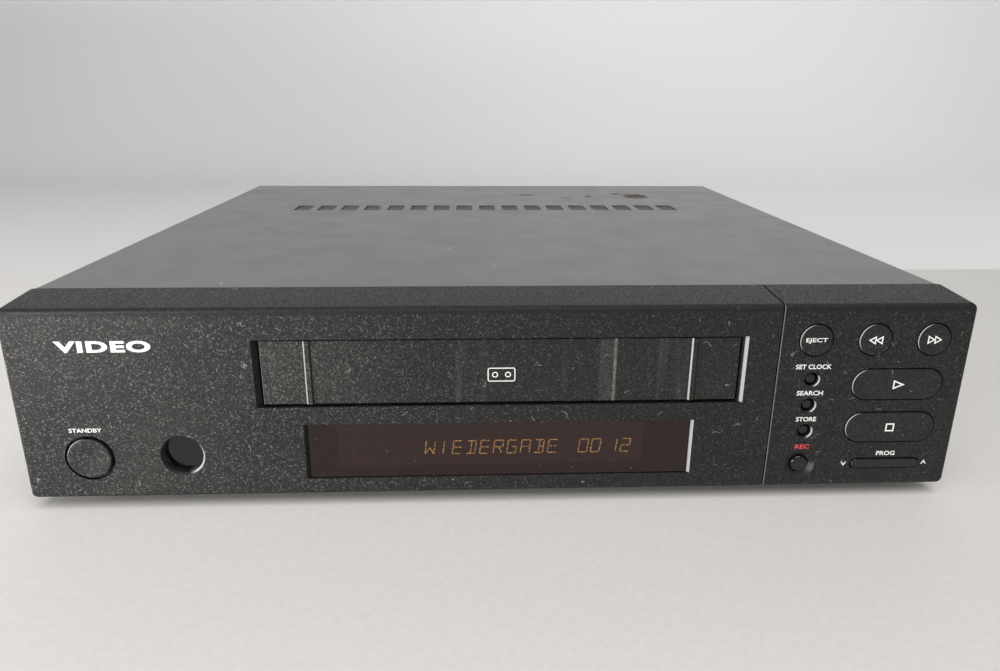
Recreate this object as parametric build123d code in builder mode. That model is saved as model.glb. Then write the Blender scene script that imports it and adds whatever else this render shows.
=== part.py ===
from build123d import *
import os
from math import acos, atan2, cos, degrees, hypot, pi, radians, sin, sqrt, tan

os.makedirs("parts", exist_ok=True)

# Table-top video cassette recorder: a low cabinet with a hinged flap over the cassette slot, a
# display window, a separate control panel on the right, and a complete tape deck inside.
# X runs to the right seen from the front, Y from front to back, Z up; the origin is on the table
# under the middle of the cabinet.

# ---- Cabinet ----
cabinet_width = 400.0
cabinet_depth = 350.0
foot_gap = 6.0  # table to the lower edge of the front mouldings
front_height = 84.6  # lower edge to the crease where the top strip begins
strip_rise = 2.1
strip_depth = 23.6
control_width = 82.5  # seam to the right side
seam_gap = 0.4
moulding_wall = 2.6
moulding_corner = 3.0
moulding_edge = 2.0
seam_bevel = 0.3
lip_depth = 5.0  # moulding lip that reaches under the cover
lip_wall = 1.6
lip_corner = 1.0  # cut from corners that meet the cover's inner bend
seat_gap = 0.3  # between pieces that sit in or beside each other

cover_sheet = 1.0
cover_inset = 1.8  # step from the moulding's side in to the cover's side
cover_bend = 2.6
cover_clearance = 1.2  # cover's lower edge above the bottom plate's underside
vent_count = 17
vent_pitch = 16.34
vent_width = 11.4
vent_length = 21.0
vent_from_front = 232.0

plate_rise = 0.5  # bottom plate's underside above the mouldings' lower edge
plate_sheet = 0.8
plate_flange = 14.0
rear_wall = 2.0
rear_recess = 9.0
foot_radius = 14.0
foot_from_side = 36.0
foot_from_end = 40.0

# ---- Frame, boards and deck levels ----
frame_floor = 2.0
frame_wall = 2.0
frame_rib = 16.0
board_stand = 3.7
board_sheet = 1.6
board_edge = 4.0  # board to the frame's wall
boss_radius = 3.5
under_deck = 9.4
deck_sheet = 1.2
deck_half_width = 112.0
deck_length = 215.0
deck_front_gap = 10.0  # front boards to the deck's front edge
deck_flange = 5.0
post_inset = 5.5
post_radius = 4.0
bay_gap = 3.0  # between the boards either side of the deck's left edge

# ---- Cassette, flap and basket ----
cassette_width = 188.0
cassette_height = 25.0
slot_from_seam = 116.0  # middle of the cassette slot and the deck to the seam
flap_from_edge = 42.4  # mouldings' lower edge to the flap
flap_side_room = 5.6
flap_headroom = 2.9
flap_thickness = 2.0
flap_recess = 1.0
flap_side_gap = 0.9
flap_top_gap = 0.8
flap_bottom_gap = 1.2
flap_pin_radius = 1.5
flap_rib_x = 80.3
flap_rib_width = 3.0
flap_rib_height = 0.7
flap_rib_bevel = 0.6
flap_bevel = 0.3
slot_chamfer = 2.0
cassette_stand = 2.8
cassette_sill = 0.4
basket_sheet = 1.0
basket_side_room = 1.5
basket_headroom = 0.8
basket_depth = 50.0
basket_from_flap = 2.0
basket_ledge = 16.0
load_travel = 80.0
slide_gap = 2.1
rail_gap = 1.2
rail_sheet = 1.2
slide_pin_radius = 1.9
pin_play = 0.1
running_play = 0.05

# ---- Windows and buttons ----
window_left = 82.5  # middle of the slot to the display window's ends
window_right = 80.8
window_low = 7.7  # above the mouldings' lower edge
window_high = 33.2
window_recess = 0.6
window_sheet = 2.0
window_border = 3.0
window_chamfer = 1.5
ir_share = 0.347  # of the way from the standby button to the display window
ir_height = 19.6
ir_radius = 8.45
ir_well = 3.6
ir_chamfer = 0.8
standby_from_side = 27.8
standby_height = 19.0
standby_hole = 10.3
standby_gap = 1.2
button_travel = 0.6
button_gap = 0.5
button_flange = 1.2
stem_radius = 2.4
switch_height = 3.4
switch_width = 6.0
switch_plunger = 1.7
switch_plunger_radius = 1.75
board_from_front = 23.0  # front face to the front boards

# ---- Drum, capstan, reels and loading gear ----
drum_radius = 31.0
drum_upper_height = 16.0
drum_gap = 0.2
drum_tilt = 5.5
drum_from_cassette = 46.0
reel_spacing = 92.0
reel_from_edge = 53.0  # reel centres to the cassette's rear edge when loaded
reel_radius = 17.0
reel_pin_radius = 1.5
capstan_radius = 1.5
flywheel_radius = 27.0
roller_radius = 7.0
gear_module = 1.0
pinion_teeth = 12
gear_teeth = 40
gear_width = 4.0

# ---- Rear fittings ----
socket_radius = 4.75
socket_length = 9.0
tuner_width = 62.0
tuner_height = 26.0
tuner_depth = 74.0
scart_width = 47.0
scart_height = 13.5
scart_depth = 20.0
scart_recess = 3.2  # rear face in to the contact block
scart_pitch = 56.0
inlet_width = 24.0
inlet_height = 18.0
inlet_depth = 22.0

# ---- Places worked out from the sizes above ----
side_x = cabinet_width / 2
front_y = -cabinet_depth / 2
rear_y = cabinet_depth / 2
crease_z = foot_gap + front_height
top_z = crease_z + strip_rise
strip_rear_y = front_y + strip_depth
inner_front_y = front_y + moulding_wall
seam_x = side_x - control_width
slot_x = seam_x - slot_from_seam
face_plane = Plane.XZ.offset(-front_y)
inner_face_plane = Plane.XZ.offset(-inner_front_y)

cover_side_x = side_x - cover_inset
cover_inner_x = cover_side_x - cover_sheet
cover_front_y = strip_rear_y + seam_gap
cover_under_z = top_z - cover_sheet
fit_x = cover_inner_x - seat_gap  # outermost face of what stands inside the cover
rear_face_y = rear_y - rear_recess
rear_inner_y = rear_face_y - rear_wall

plate_z = foot_gap + plate_rise
frame_z = plate_z + plate_sheet
frame_floor_top = frame_z + frame_floor
board_z = frame_floor_top + board_stand
board_top = board_z + board_sheet
deck_z = board_top + under_deck
deck_top = deck_z + deck_sheet
frame_front_y = strip_rear_y + lip_depth + seat_gap
frame_side_x = fit_x - lip_wall - 1.0

front_board_y = front_y + board_from_front
front_board_back_y = front_board_y + board_sheet
switch_face_y = front_board_y - switch_height - switch_plunger
stem_end_y = switch_face_y - button_travel - running_play

deck_front_y = front_board_back_y + deck_front_gap
deck_rear_y = deck_front_y + deck_length
deck_low_x = slot_x - deck_half_width
deck_high_x = slot_x + deck_half_width
deck_posts = [
    (x, y)
    for x in (deck_low_x + post_inset, deck_high_x - post_inset)
    for y in (deck_front_y + post_inset, deck_rear_y - post_inset)
]

flap_low_x = slot_x - cassette_width / 2 - flap_side_room
flap_high_x = slot_x + cassette_width / 2 + flap_side_room
flap_z = foot_gap + flap_from_edge
flap_height = cassette_height + flap_headroom
flap_top_z = flap_z + flap_height
flap_front_y = front_y + flap_recess
flap_back_y = flap_front_y + flap_thickness
hinge_y = flap_back_y + 1.0
hinge_z = flap_top_z - 0.1
slot_low_x = flap_low_x - flap_side_gap
slot_high_x = flap_high_x + flap_side_gap
slot_low_z = flap_z - flap_bottom_gap
slot_high_z = flap_top_z + flap_top_gap

cassette_up_z = flap_z - cassette_sill
cassette_down_z = deck_top + cassette_stand
lift_travel = cassette_up_z - cassette_down_z
basket_front_y = hinge_y + flap_height + basket_from_flap
basket_rear_y = basket_front_y + basket_depth
basket_inner = cassette_width / 2 + basket_side_room
basket_outer = basket_inner + basket_sheet
basket_top_z = cassette_up_z + cassette_height + basket_headroom + basket_sheet
loaded_edge_y = basket_rear_y - basket_sheet + load_travel  # cassette's rear edge when loaded
carriage_inner = basket_outer + slide_gap
carriage_outer = carriage_inner + rail_sheet
rail_inner = carriage_outer + rail_gap
rail_outer = rail_inner + rail_sheet

window_low_x = slot_x - window_left
window_high_x = slot_x + window_right
standby_x = -side_x + standby_from_side
standby_edge = standby_x + standby_hole
ir_x = standby_edge + ir_share * (window_low_x - standby_edge)
window_low_z = foot_gap + window_low
window_high_z = foot_gap + window_high
ir_z = foot_gap + ir_height
standby_z = foot_gap + standby_height

drum_y = loaded_edge_y + drum_from_cassette
tape_z = cassette_down_z + cassette_height / 2
reel_y = loaded_edge_y - reel_from_edge


def save(piece, name):
    """Label a finished piece and write its STEP file."""
    piece.part.label = name
    export_step(piece.part, f"parts/{name}.step")


def slab(x0, x1, y0, y1, z0, z1, mode=Mode.ADD):
    """Block between two opposite corners, in the part being built."""
    with Locations(((x0 + x1) / 2, (y0 + y1) / 2, (z0 + z1) / 2)):
        Box(x1 - x0, y1 - y0, z1 - z0, mode=mode)


def post(x, y, radius, z0, z1, mode=Mode.ADD):
    """Upright round bar or hole."""
    with Locations((x, y, (z0 + z1) / 2)):
        Cylinder(radius, z1 - z0, mode=mode)


def bar_y(x, z, radius, y0, y1, mode=Mode.ADD):
    """Round bar or hole that runs from front to back."""
    with Locations((x, (y0 + y1) / 2, z)):
        Cylinder(radius, y1 - y0, rotation=(90, 0, 0), mode=mode)


def bar_x(y, z, radius, x0, x1, mode=Mode.ADD):
    """Round bar or hole that runs from side to side."""
    with Locations(((x0 + x1) / 2, y, z)):
        Cylinder(radius, x1 - x0, rotation=(0, 90, 0), mode=mode)


def countersink_y(x, z, radius, depth, y):
    """Widen the front of a round hole in a wall that faces forwards."""
    with Locations((x, y + depth / 2, z)):
        Cone(radius + depth, radius, depth, rotation=(-90, 0, 0), mode=Mode.SUBTRACT)


# ================= Front mouldings =================
def moulding(x_low, x_high, outer_side):
    """Hollow front moulding, open behind; outer_side is -1 or 1, where the cabinet ends."""
    with BuildPart() as shell:
        with BuildSketch(Plane.YZ.offset(x_low)):
            with BuildLine():
                Polyline(
                    (front_y, foot_gap),
                    (strip_rear_y, foot_gap),
                    (strip_rear_y, top_z),
                    (front_y, crease_z),
                    close=True,
                )
            make_face()
        extrude(amount=x_high - x_low)
        end = shell.faces().sort_by(Axis.X)[0 if outer_side < 0 else -1]
        fillet(end.edges().filter_by(Axis.Z, reverse=True), moulding_corner)
        front_loop = shell.faces().sort_by(Axis.Y)[0].edges()
        seam_edge = front_loop.sort_by(Axis.X)[-1 if outer_side < 0 else 0]
        fillet([edge for edge in front_loop if edge != seam_edge], moulding_edge)
        front_loop = shell.faces().sort_by(Axis.Y)[0].edges()
        chamfer(front_loop.sort_by(Axis.X)[-1 if outer_side < 0 else 0], seam_bevel)
        with BuildSketch(Plane.YZ.offset(x_low + moulding_wall)):
            with BuildLine():
                Polyline(
                    (inner_front_y, foot_gap + moulding_wall),
                    (strip_rear_y, foot_gap + moulding_wall),
                    (strip_rear_y, top_z - moulding_wall),
                    (inner_front_y, crease_z - moulding_wall),
                    close=True,
                )
            make_face()
        extrude(amount=x_high - x_low - 2 * moulding_wall, mode=Mode.SUBTRACT)

        # lip under the cover, joined to the side wall by a short web
        lip_z0 = plate_z + plate_flange + seat_gap
        lip_top = cover_under_z - seat_gap
        near = lip_corner - fit_x if outer_side < 0 else x_low + moulding_wall
        far = x_high - moulding_wall if outer_side < 0 else fit_x - lip_corner
        slab(near, far, strip_rear_y - 2, strip_rear_y + lip_depth, lip_top - lip_wall, lip_top)
        wall_x = outer_side * (fit_x - lip_wall / 2)
        x0, x1 = wall_x - lip_wall / 2, wall_x + lip_wall / 2
        slab(x0, x1, strip_rear_y - 4, strip_rear_y + lip_depth, lip_z0, lip_top - lip_corner)
        web = sorted((outer_side * (fit_x - lip_wall), outer_side * (side_x - moulding_wall / 2)))
        slab(web[0], web[1], strip_rear_y - 4, strip_rear_y, lip_z0, lip_top - lip_corner)
    return shell.part


front_high_x = seam_x - seam_gap / 2
pin_ear = 4.0
lug_width = 3.0
spring_seat_x = flap_low_x + pin_ear
spring_room = 8.0
board_boss_radius = 2.5
board_margin = 4.0
front_board_low_x = -side_x + moulding_wall + board_margin + 2
front_board_high_x = front_high_x - moulding_wall - 2
front_board_z = foot_gap + moulding_wall + 2.2
front_board_top = slot_low_z - board_margin
front_board_bosses = [
    (x, z)
    for x in (front_board_low_x + board_margin, (ir_x + window_low_x) / 2, window_high_x + 18)
    for z in (front_board_z + board_margin, front_board_top - board_margin)
]

with BuildPart() as front_panel:
    add(moulding(-side_x, front_high_x, -1))
    with BuildSketch(face_plane):
        with Locations(((slot_low_x + slot_high_x) / 2, (slot_low_z + slot_high_z) / 2)):
            Rectangle(slot_high_x - slot_low_x, slot_high_z - slot_low_z)
        with Locations(((window_low_x + window_high_x) / 2, (window_low_z + window_high_z) / 2)):
            Rectangle(window_high_x - window_low_x, window_high_z - window_low_z)
        with Locations((ir_x, ir_z)):
            Circle(ir_radius)
        with Locations((standby_x, standby_z)):
            Circle(standby_hole)
    extrude(amount=-moulding_wall, mode=Mode.SUBTRACT)
    upright = front_panel.edges().filter_by(Axis.Z)
    upright = upright.filter_by_position(Axis.Y, front_y - 0.01, front_y + 0.01)
    upright = upright.filter_by_position(Axis.X, slot_low_x - 0.01, slot_high_x + 0.01)
    chamfer(upright.filter_by_position(Axis.Z, slot_low_z, slot_high_z), slot_chamfer)
    chamfer(upright.filter_by_position(Axis.Z, window_low_z, window_high_z), window_chamfer)
    # well in front of the infrared window
    with BuildSketch(inner_face_plane):
        with Locations((ir_x, ir_z)):
            Circle(ir_radius + 1.8)
            Circle(ir_radius, mode=Mode.SUBTRACT)
    extrude(amount=-(ir_well - moulding_wall))
    countersink_y(ir_x, ir_z, ir_radius, ir_chamfer, front_y)
    # bearing lugs for the flap's pins, one beyond each end of the slot
    for x0, x1 in ((slot_low_x - lug_width, slot_low_x), (slot_high_x, slot_high_x + lug_width)):
        slab(x0, x1, inner_front_y, hinge_y + 3.0, hinge_z - 3.5, hinge_z + 3.5)
        bar_x(hinge_y, hinge_z, flap_pin_radius + running_play, x0, x1, Mode.SUBTRACT)
    # bosses that carry the display board
    for x, z in front_board_bosses:
        bar_y(x, z, board_boss_radius, inner_front_y, front_board_y)
save(front_panel, "front_panel")

# ================= Control panel on the right =================
control_low_x = seam_x + seam_gap / 2
small_round_hole = 7.45
large_button_width = 40.3
set_hole = 3.0
record_hole = 4.25
record_dish = 6.8
record_dish_depth = 1.2
rocker_width = 31.4
rocker_height = 5.3
rocker_pin_radius = 1.0
rocker_lug = 4.0

# places from the seam and above the mouldings' lower edge
round_row = 69.1
round_places = {"eject": 15.1, "rewind": 40.4, "fast_forward": 65.6}
large_x = 53.0
large_places = {"play": 48.8, "stop": 28.6}
set_x = 15.6
set_places = {"set_clock": 51.3, "search": 39.3, "store": 27.1}
record_from_seam = 15.3
record_height = 11.0
rocker_from_seam = 53.5

record_x = seam_x + record_from_seam
record_z = foot_gap + record_height
rocker_x = seam_x + rocker_from_seam
rocker_y = inner_front_y + 2.4
boss_column_x = seam_x + (round_places["eject"] + round_places["rewind"]) / 2
operation_bosses = [
    (boss_column_x, foot_gap + round_row + 8.5),
    (boss_column_x, foot_gap + (large_places["play"] + large_places["stop"]) / 2),
    (boss_column_x, record_z),
    (
        seam_x + (round_places["rewind"] + round_places["fast_forward"]) / 2,
        foot_gap + round_row + 5.0,
    ),
]

with BuildPart() as control_panel:
    add(moulding(control_low_x, side_x, 1))
    with BuildSketch(face_plane):
        with Locations([(seam_x + x, foot_gap + round_row) for x in round_places.values()]):
            Circle(small_round_hole)
        with Locations([(seam_x + large_x, foot_gap + z) for z in large_places.values()]):
            SlotOverall(large_button_width, 2 * small_round_hole)
        with Locations([(seam_x + set_x, foot_gap + z) for z in set_places.values()]):
            Circle(set_hole)
        with Locations((record_x, record_z)):
            Circle(record_hole)
        with Locations((rocker_x, record_z)):
            SlotOverall(rocker_width, rocker_height)
    extrude(amount=-moulding_wall, mode=Mode.SUBTRACT)
    for z in set_places.values():
        countersink_y(seam_x + set_x, foot_gap + z, set_hole, 0.5, front_y)
    with Locations((record_x, front_y + record_dish_depth / 2, record_z)):
        Cone(
            record_dish,
            record_hole,
            record_dish_depth,
            rotation=(-90, 0, 0),
            mode=Mode.SUBTRACT,
        )
    # two lugs that hold the rocker's upright pin
    for z0, z1 in (
        (record_z - rocker_height / 2 - rocker_lug / 2, record_z - rocker_height / 2),
        (record_z + rocker_height / 2, record_z + rocker_height / 2 + rocker_lug / 2),
    ):
        slab(rocker_x - 3, rocker_x + 3, inner_front_y, rocker_y + 3, z0, z1)
        post(rocker_x, rocker_y, rocker_pin_radius + running_play, z0, z1, Mode.SUBTRACT)
    for x, z in operation_bosses:
        bar_y(x, z, board_boss_radius, inner_front_y, front_board_y)
save(control_panel, "control_panel")

# ================= Cover, bottom plate, rear panel =================
screw_shank = 1.5
screw_head = 3.6
screw_head_height = 1.5
side_screw_z = plate_z + plate_flange - 6.0
side_screws_y = [frame_front_y + 45.0, rear_face_y - 45.0]

with BuildPart() as top_cover:
    with BuildSketch(Plane.XZ.offset(-cover_front_y)) as cover_section:
        with BuildLine():
            Polyline(
                (-cover_side_x, plate_z + cover_clearance),
                (-cover_side_x, top_z),
                (cover_side_x, top_z),
                (cover_side_x, plate_z + cover_clearance),
                close=True,
            )
        make_face()
        fillet(cover_section.vertices().group_by(Axis.Z)[-1], cover_bend)
    extrude(amount=-(rear_y - cover_front_y))
    with BuildSketch(Plane.XZ.offset(-cover_front_y)) as cover_hollow:
        with BuildLine():
            Polyline(
                (-cover_inner_x, plate_z),
                (-cover_inner_x, cover_under_z),
                (cover_inner_x, cover_under_z),
                (cover_inner_x, plate_z),
                close=True,
            )
        make_face()
        fillet(cover_hollow.vertices().group_by(Axis.Z)[-1], cover_bend - cover_sheet)
    extrude(amount=-(rear_y - cover_front_y), mode=Mode.SUBTRACT)
    # one row of ventilation slots across the back of the top
    with BuildSketch(Plane.XY.offset(cover_under_z)):
        with Locations((0, front_y + vent_from_front)):
            with GridLocations(vent_pitch, 1, vent_count, 1):
                RectangleRounded(vent_width, vent_length, 1.5)
    extrude(amount=cover_sheet, mode=Mode.SUBTRACT)
    for y in side_screws_y:
        bar_x(y, side_screw_z, screw_shank + pin_play, -side_x, side_x, Mode.SUBTRACT)
save(top_cover, "top_cover")

plate_front_y = strip_rear_y + seat_gap
plate_rear_y = rear_face_y
feet_places = [
    (x, y)
    for x in (-side_x + foot_from_side, side_x - foot_from_side)
    for y in (front_y + foot_from_end, rear_y - foot_from_end)
]
with BuildPart() as bottom_plate:
    slab(-fit_x, fit_x, plate_front_y, plate_rear_y, plate_z, frame_z)
    for side in (-1, 1):
        x0, x1 = sorted((side * fit_x, side * (fit_x - plate_sheet)))
        slab(x0, x1, plate_front_y, plate_rear_y, plate_z, plate_z + plate_flange)
    for y in side_screws_y:
        bar_x(y, side_screw_z, screw_shank + pin_play, -side_x, side_x, Mode.SUBTRACT)
    # cooling slots under the power supply and the main board
    with BuildSketch(Plane.XY.offset(plate_z)):
        with Locations((0, rear_face_y - 60.0)):
            with GridLocations(12.0, 1, 23, 1):
                SlotOverall(24.0, 4.0, rotation=90)
    extrude(amount=plate_sheet, mode=Mode.SUBTRACT)
    for x, y in feet_places:
        post(x, y, screw_shank + pin_play, plate_z, frame_z, Mode.SUBTRACT)
save(bottom_plate, "bottom_plate")

with BuildPart() as feet:
    for x, y in feet_places:
        with BuildSketch(Plane.XY):
            with Locations((x, y)):
                Circle(foot_radius)
        extrude(amount=plate_z, taper=4)
        post(x, y, foot_radius - 6, 0, plate_z - 3.5, Mode.SUBTRACT)
        post(x, y, screw_shank + pin_play, 0, plate_z, Mode.SUBTRACT)
save(feet, "feet")

tuner_high_x = fit_x - 10.0
tuner_low_x = tuner_high_x - tuner_width
tuner_z = board_top
tuner_rear_y = rear_inner_y
antenna_x = tuner_low_x + 16.0
antenna_low_z = tuner_z + 8.0
antenna_pitch = 24.0
scart_x = [slot_x - scart_pitch / 2, slot_x + scart_pitch / 2]
scart_z = board_top + 1.0
inlet_x = -side_x + 38.0
inlet_z = board_top + 1.0
panel_screws = [(x, frame_z + 3.0) for x in (-fit_x + 30, slot_x - 70, fit_x - 90)]

with BuildPart() as rear_panel:
    slab(-fit_x, fit_x, rear_inner_y, rear_face_y, frame_z, cover_under_z - seat_gap)
    chamfer(rear_panel.edges().filter_by(Axis.Y).group_by(Axis.Z)[-1], lip_corner)
    for side in (-1, 1):
        x0, x1 = sorted((side * fit_x, side * (fit_x - plate_sheet - seat_gap)))
        slab(x0, x1, rear_inner_y, rear_face_y, frame_z, plate_z + plate_flange + seat_gap,
             Mode.SUBTRACT)
    for x in (antenna_x, antenna_x + antenna_pitch):
        bar_y(x, antenna_low_z, socket_radius + 0.6 + seat_gap, rear_inner_y, rear_face_y,
              Mode.SUBTRACT)
    with BuildSketch(Plane.XZ.offset(-rear_inner_y)):
        with Locations([(x, scart_z + scart_height / 2) for x in scart_x]):
            Rectangle(scart_width + 2 * seat_gap, scart_height + 2 * seat_gap)
        with Locations((inlet_x, inlet_z + inlet_height / 2)):
            Rectangle(inlet_width + 2 * seat_gap, inlet_height + 2 * seat_gap)
        # upper row of cooling slots
        with Locations((0, top_z - 18)):
            with GridLocations(9.0, 1, 34, 1):
                SlotOverall(16.0, 3.2, rotation=90)
    extrude(amount=-rear_wall, mode=Mode.SUBTRACT)
    for x, z in panel_screws:
        bar_y(x, z, screw_shank + pin_play, rear_inner_y, rear_face_y, Mode.SUBTRACT)
save(rear_panel, "rear_panel")


# ================= Inner frame =================
board_front_y = frame_front_y + frame_wall + board_edge
board_rear_y = rear_inner_y - seat_gap
board_side_x = frame_side_x - frame_wall - board_edge
power_high_x = deck_low_x - bay_gap - deck_sheet
main_low_x = power_high_x + bay_gap
post_low_x = deck_low_x + post_inset
post_high_x = deck_high_x - post_inset
post_front_y = deck_front_y + post_inset
post_rear_y = deck_rear_y - post_inset
boss_front_y = board_front_y + 6.0
boss_rear_y = board_rear_y - 8.0
boss_mid_y = (post_front_y + post_rear_y) / 2
rib_columns = [
    -frame_side_x + frame_rib / 2,
    power_high_x - 5.0,
    post_low_x,
    slot_x,
    post_high_x,
    frame_side_x - frame_rib / 2,
]
rib_rows = [
    frame_front_y + frame_rib / 2,
    boss_mid_y,
    post_rear_y,
    rear_inner_y - frame_rib / 2,
]
board_bosses = [
    (-board_side_x + 5.0, boss_front_y),
    (-board_side_x + 5.0, boss_rear_y),
    (power_high_x - 5.0, boss_front_y),
    (power_high_x - 5.0, boss_rear_y),
    (post_low_x, boss_mid_y),
    (post_low_x, boss_rear_y),
    (slot_x, boss_front_y),
    (slot_x, boss_rear_y - 14.0),
    (board_side_x - 5.0, boss_front_y),
    (board_side_x - 5.0, boss_mid_y),
]
inner_screw = 1.4
pilot = inner_screw + running_play

with BuildPart() as chassis_frame:
    slab(-frame_side_x, frame_side_x, frame_front_y, rear_inner_y, frame_z, board_z)
    slab(
        -frame_side_x + frame_wall,
        frame_side_x - frame_wall,
        frame_front_y + frame_wall,
        rear_inner_y - frame_wall,
        frame_floor_top,
        board_z,
        Mode.SUBTRACT,
    )
    # windows that leave a lattice of flat ribs
    with BuildSketch(Plane.XY.offset(frame_z)):
        for x0, x1 in zip(rib_columns, rib_columns[1:]):
            for y0, y1 in zip(rib_rows, rib_rows[1:]):
                if x1 - x0 > 2 * frame_rib:
                    with Locations(((x0 + x1) / 2, (y0 + y1) / 2)):
                        RectangleRounded(x1 - x0 - frame_rib, y1 - y0 - frame_rib, 4)
    extrude(amount=frame_floor, mode=Mode.SUBTRACT)
    # tongues that carry the front mouldings
    for x in (-side_x + 60, slot_x - 21.5, seam_x - 20, side_x - 30):
        slab(
            x - 8,
            x + 8,
            strip_rear_y - 6,
            frame_front_y + frame_wall,
            foot_gap + moulding_wall,
            frame_floor_top,
        )
    for x, y in board_bosses:
        post(x, y, boss_radius, frame_z, board_z)
    for x, y in deck_posts:
        post(x, y, post_radius, frame_z, deck_z)
        post(x, y, pilot, deck_z - 9.0, deck_z, Mode.SUBTRACT)
    for x, y in board_bosses:
        post(x, y, pilot, frame_floor_top, board_z, Mode.SUBTRACT)
    for x, z in panel_screws:
        bar_y(x, z, screw_shank + running_play, rear_inner_y - 7, rear_inner_y, Mode.SUBTRACT)
save(chassis_frame, "chassis_frame")

with BuildPart() as case_screws:
    for y in side_screws_y:
        for side in (-1, 1):
            x0, x1 = sorted((side * cover_side_x, side * (cover_side_x + screw_head_height)))
            bar_x(y, side_screw_z, screw_head, x0, x1)
            x0, x1 = sorted((side * cover_side_x, side * (fit_x - plate_sheet - 1.0)))
            bar_x(y, side_screw_z, screw_shank, x0, x1)
    for x, z in panel_screws:
        bar_y(x, z, screw_head, rear_face_y, rear_face_y + screw_head_height)
        bar_y(x, z, screw_shank, rear_inner_y - 6.0, rear_face_y)
    for x, y in feet_places:
        post(x, y, screw_head, plate_z - 3.5 - screw_head_height, plate_z - 3.5)
        post(x, y, screw_shank, plate_z - 3.5, frame_z - 0.1)
save(case_screws, "case_screws")

# ================= Flap =================
spring_wire = 0.4
spring_arbor = 0.95
spring_turns = 8
spring_pitch = 0.8
spring_coil = spring_arbor + 0.15 + spring_wire / 2
spring_outer = spring_coil + spring_wire / 2
with BuildPart() as cassette_flap:
    slab(flap_low_x, flap_high_x, flap_front_y, flap_back_y, flap_z, flap_top_z)
    rib_front_y = flap_front_y - flap_rib_height
    for x in (slot_x - flap_rib_x, slot_x + flap_rib_x):
        slab(x - flap_rib_width / 2, x + flap_rib_width / 2, rib_front_y, flap_front_y,
             flap_z, flap_top_z)
    flap_uprights = cassette_flap.edges().filter_by(Axis.Z)
    chamfer(flap_uprights.filter_by_position(Axis.Y, rib_front_y - 0.01, rib_front_y + 0.01),
            flap_rib_bevel)
    front_corners = flap_uprights.filter_by_position(Axis.Y, flap_front_y - 0.01, flap_front_y + 0.01)
    chamfer([front_corners.sort_by(Axis.X)[0], front_corners.sort_by(Axis.X)[-1]], flap_bevel)
    for x0, x1, tip in (
        (flap_low_x, spring_seat_x, slot_low_x - lug_width),
        (flap_high_x - pin_ear, flap_high_x, slot_high_x + lug_width),
    ):
        slab(x0, x1, flap_back_y, hinge_y + 1.2, hinge_z - 3.2, hinge_z)
        bar_x(hinge_y, hinge_z, flap_pin_radius, x0, x1)
        bar_x(hinge_y, hinge_z, flap_pin_radius, min(x0, tip), max(x1, tip))
    # arbor for the spring, between the left ear and a second ear, in a shallow pocket
    inner_ear_x = spring_seat_x + spring_room
    slab(inner_ear_x, inner_ear_x + 2, flap_back_y, hinge_y + 1.2, hinge_z - 3.2, hinge_z)
    slab(spring_seat_x, inner_ear_x, hinge_y - spring_outer - pin_play, flap_back_y,
         hinge_z - spring_outer - pin_play, flap_top_z, Mode.SUBTRACT)
    bar_x(hinge_y, hinge_z, spring_arbor, spring_seat_x, inner_ear_x)
save(cassette_flap, "cassette_flap")

with BuildPart() as flap_spring:
    coil_x = spring_seat_x + 0.6
    with BuildLine():
        coil = Helix(
            pitch=spring_pitch,
            height=spring_turns * spring_pitch,
            radius=spring_coil,
            center=(coil_x, hinge_y, hinge_z),
            direction=(1, 0, 0),
        )
    with BuildSketch(Plane(origin=coil @ 0, z_dir=coil % 0)):
        Circle(spring_wire / 2)
    sweep()
save(flap_spring, "flap_spring")

# ================= Windows =================
with BuildPart() as display_window:
    play = 0.2
    slab(
        window_low_x + play,
        window_high_x - play,
        front_y + window_recess,
        inner_front_y + window_sheet,
        window_low_z + play,
        window_high_z - play,
    )
    slab(
        window_low_x - window_border,
        window_high_x + window_border,
        inner_front_y,
        inner_front_y + window_sheet,
        window_low_z - window_border,
        window_high_z + window_border,
    )
save(display_window, "display_window")

ir_sheet = 1.5
with BuildPart() as ir_window:
    ir_window_y = front_y + ir_well
    bar_y(ir_x, ir_z, ir_radius + 1.6, ir_window_y, ir_window_y + ir_sheet)
save(ir_window, "ir_window")


# ================= Buttons =================
def push_button(name, x, z, hole, proud, gap=button_gap, length=0.0, edge=0.5, dish=0.0):
    """Cap in its hole, flange behind the wall, and a stem that reaches to the switch.

    length is the overall length of a long button, 0 for a round one.
    """
    cap_y = front_y - proud
    flange_y = inner_front_y + seat_gap
    with BuildPart() as button:
        for y0, y1, radius in (
            (cap_y, flange_y + button_flange, hole - gap),
            (flange_y, flange_y + button_flange, hole + button_flange),
        ):
            with BuildSketch(Plane.XZ.offset(-y0)):
                with Locations((x, z)):
                    if length:
                        SlotOverall(length + 2 * (radius - hole), 2 * radius)
                    else:
                        Circle(radius)
            extrude(amount=-(y1 - y0))
        fillet(button.faces().sort_by(Axis.Y)[0].edges(), edge)
        if dish:
            with Locations((x, cap_y + dish / 2, z)):
                Cone(hole - gap - 1.6, 1.0, dish, rotation=(-90, 0, 0), mode=Mode.SUBTRACT)
        bar_y(x, z, stem_radius, inner_front_y, stem_end_y)
    save(button, name)


button_proud = 0.5
standby_dish = 0.6
standby_proud = 0.6
set_recess = 1.3
for name, from_seam in round_places.items():
    push_button(f"{name}_button", seam_x + from_seam, foot_gap + round_row, small_round_hole,
                button_proud)
for name, height in large_places.items():
    push_button(f"{name}_button", seam_x + large_x, foot_gap + height, small_round_hole,
                button_proud, length=large_button_width)
for name, height in set_places.items():
    push_button(f"{name}_button", seam_x + set_x, foot_gap + height, set_hole, -set_recess,
                edge=1.0)
push_button("record_button", record_x, record_z, record_hole, 0.0, edge=1.0)
push_button("standby_button", standby_x, standby_z, standby_hole, standby_proud,
            gap=standby_gap, edge=0.6, dish=standby_dish)

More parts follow.
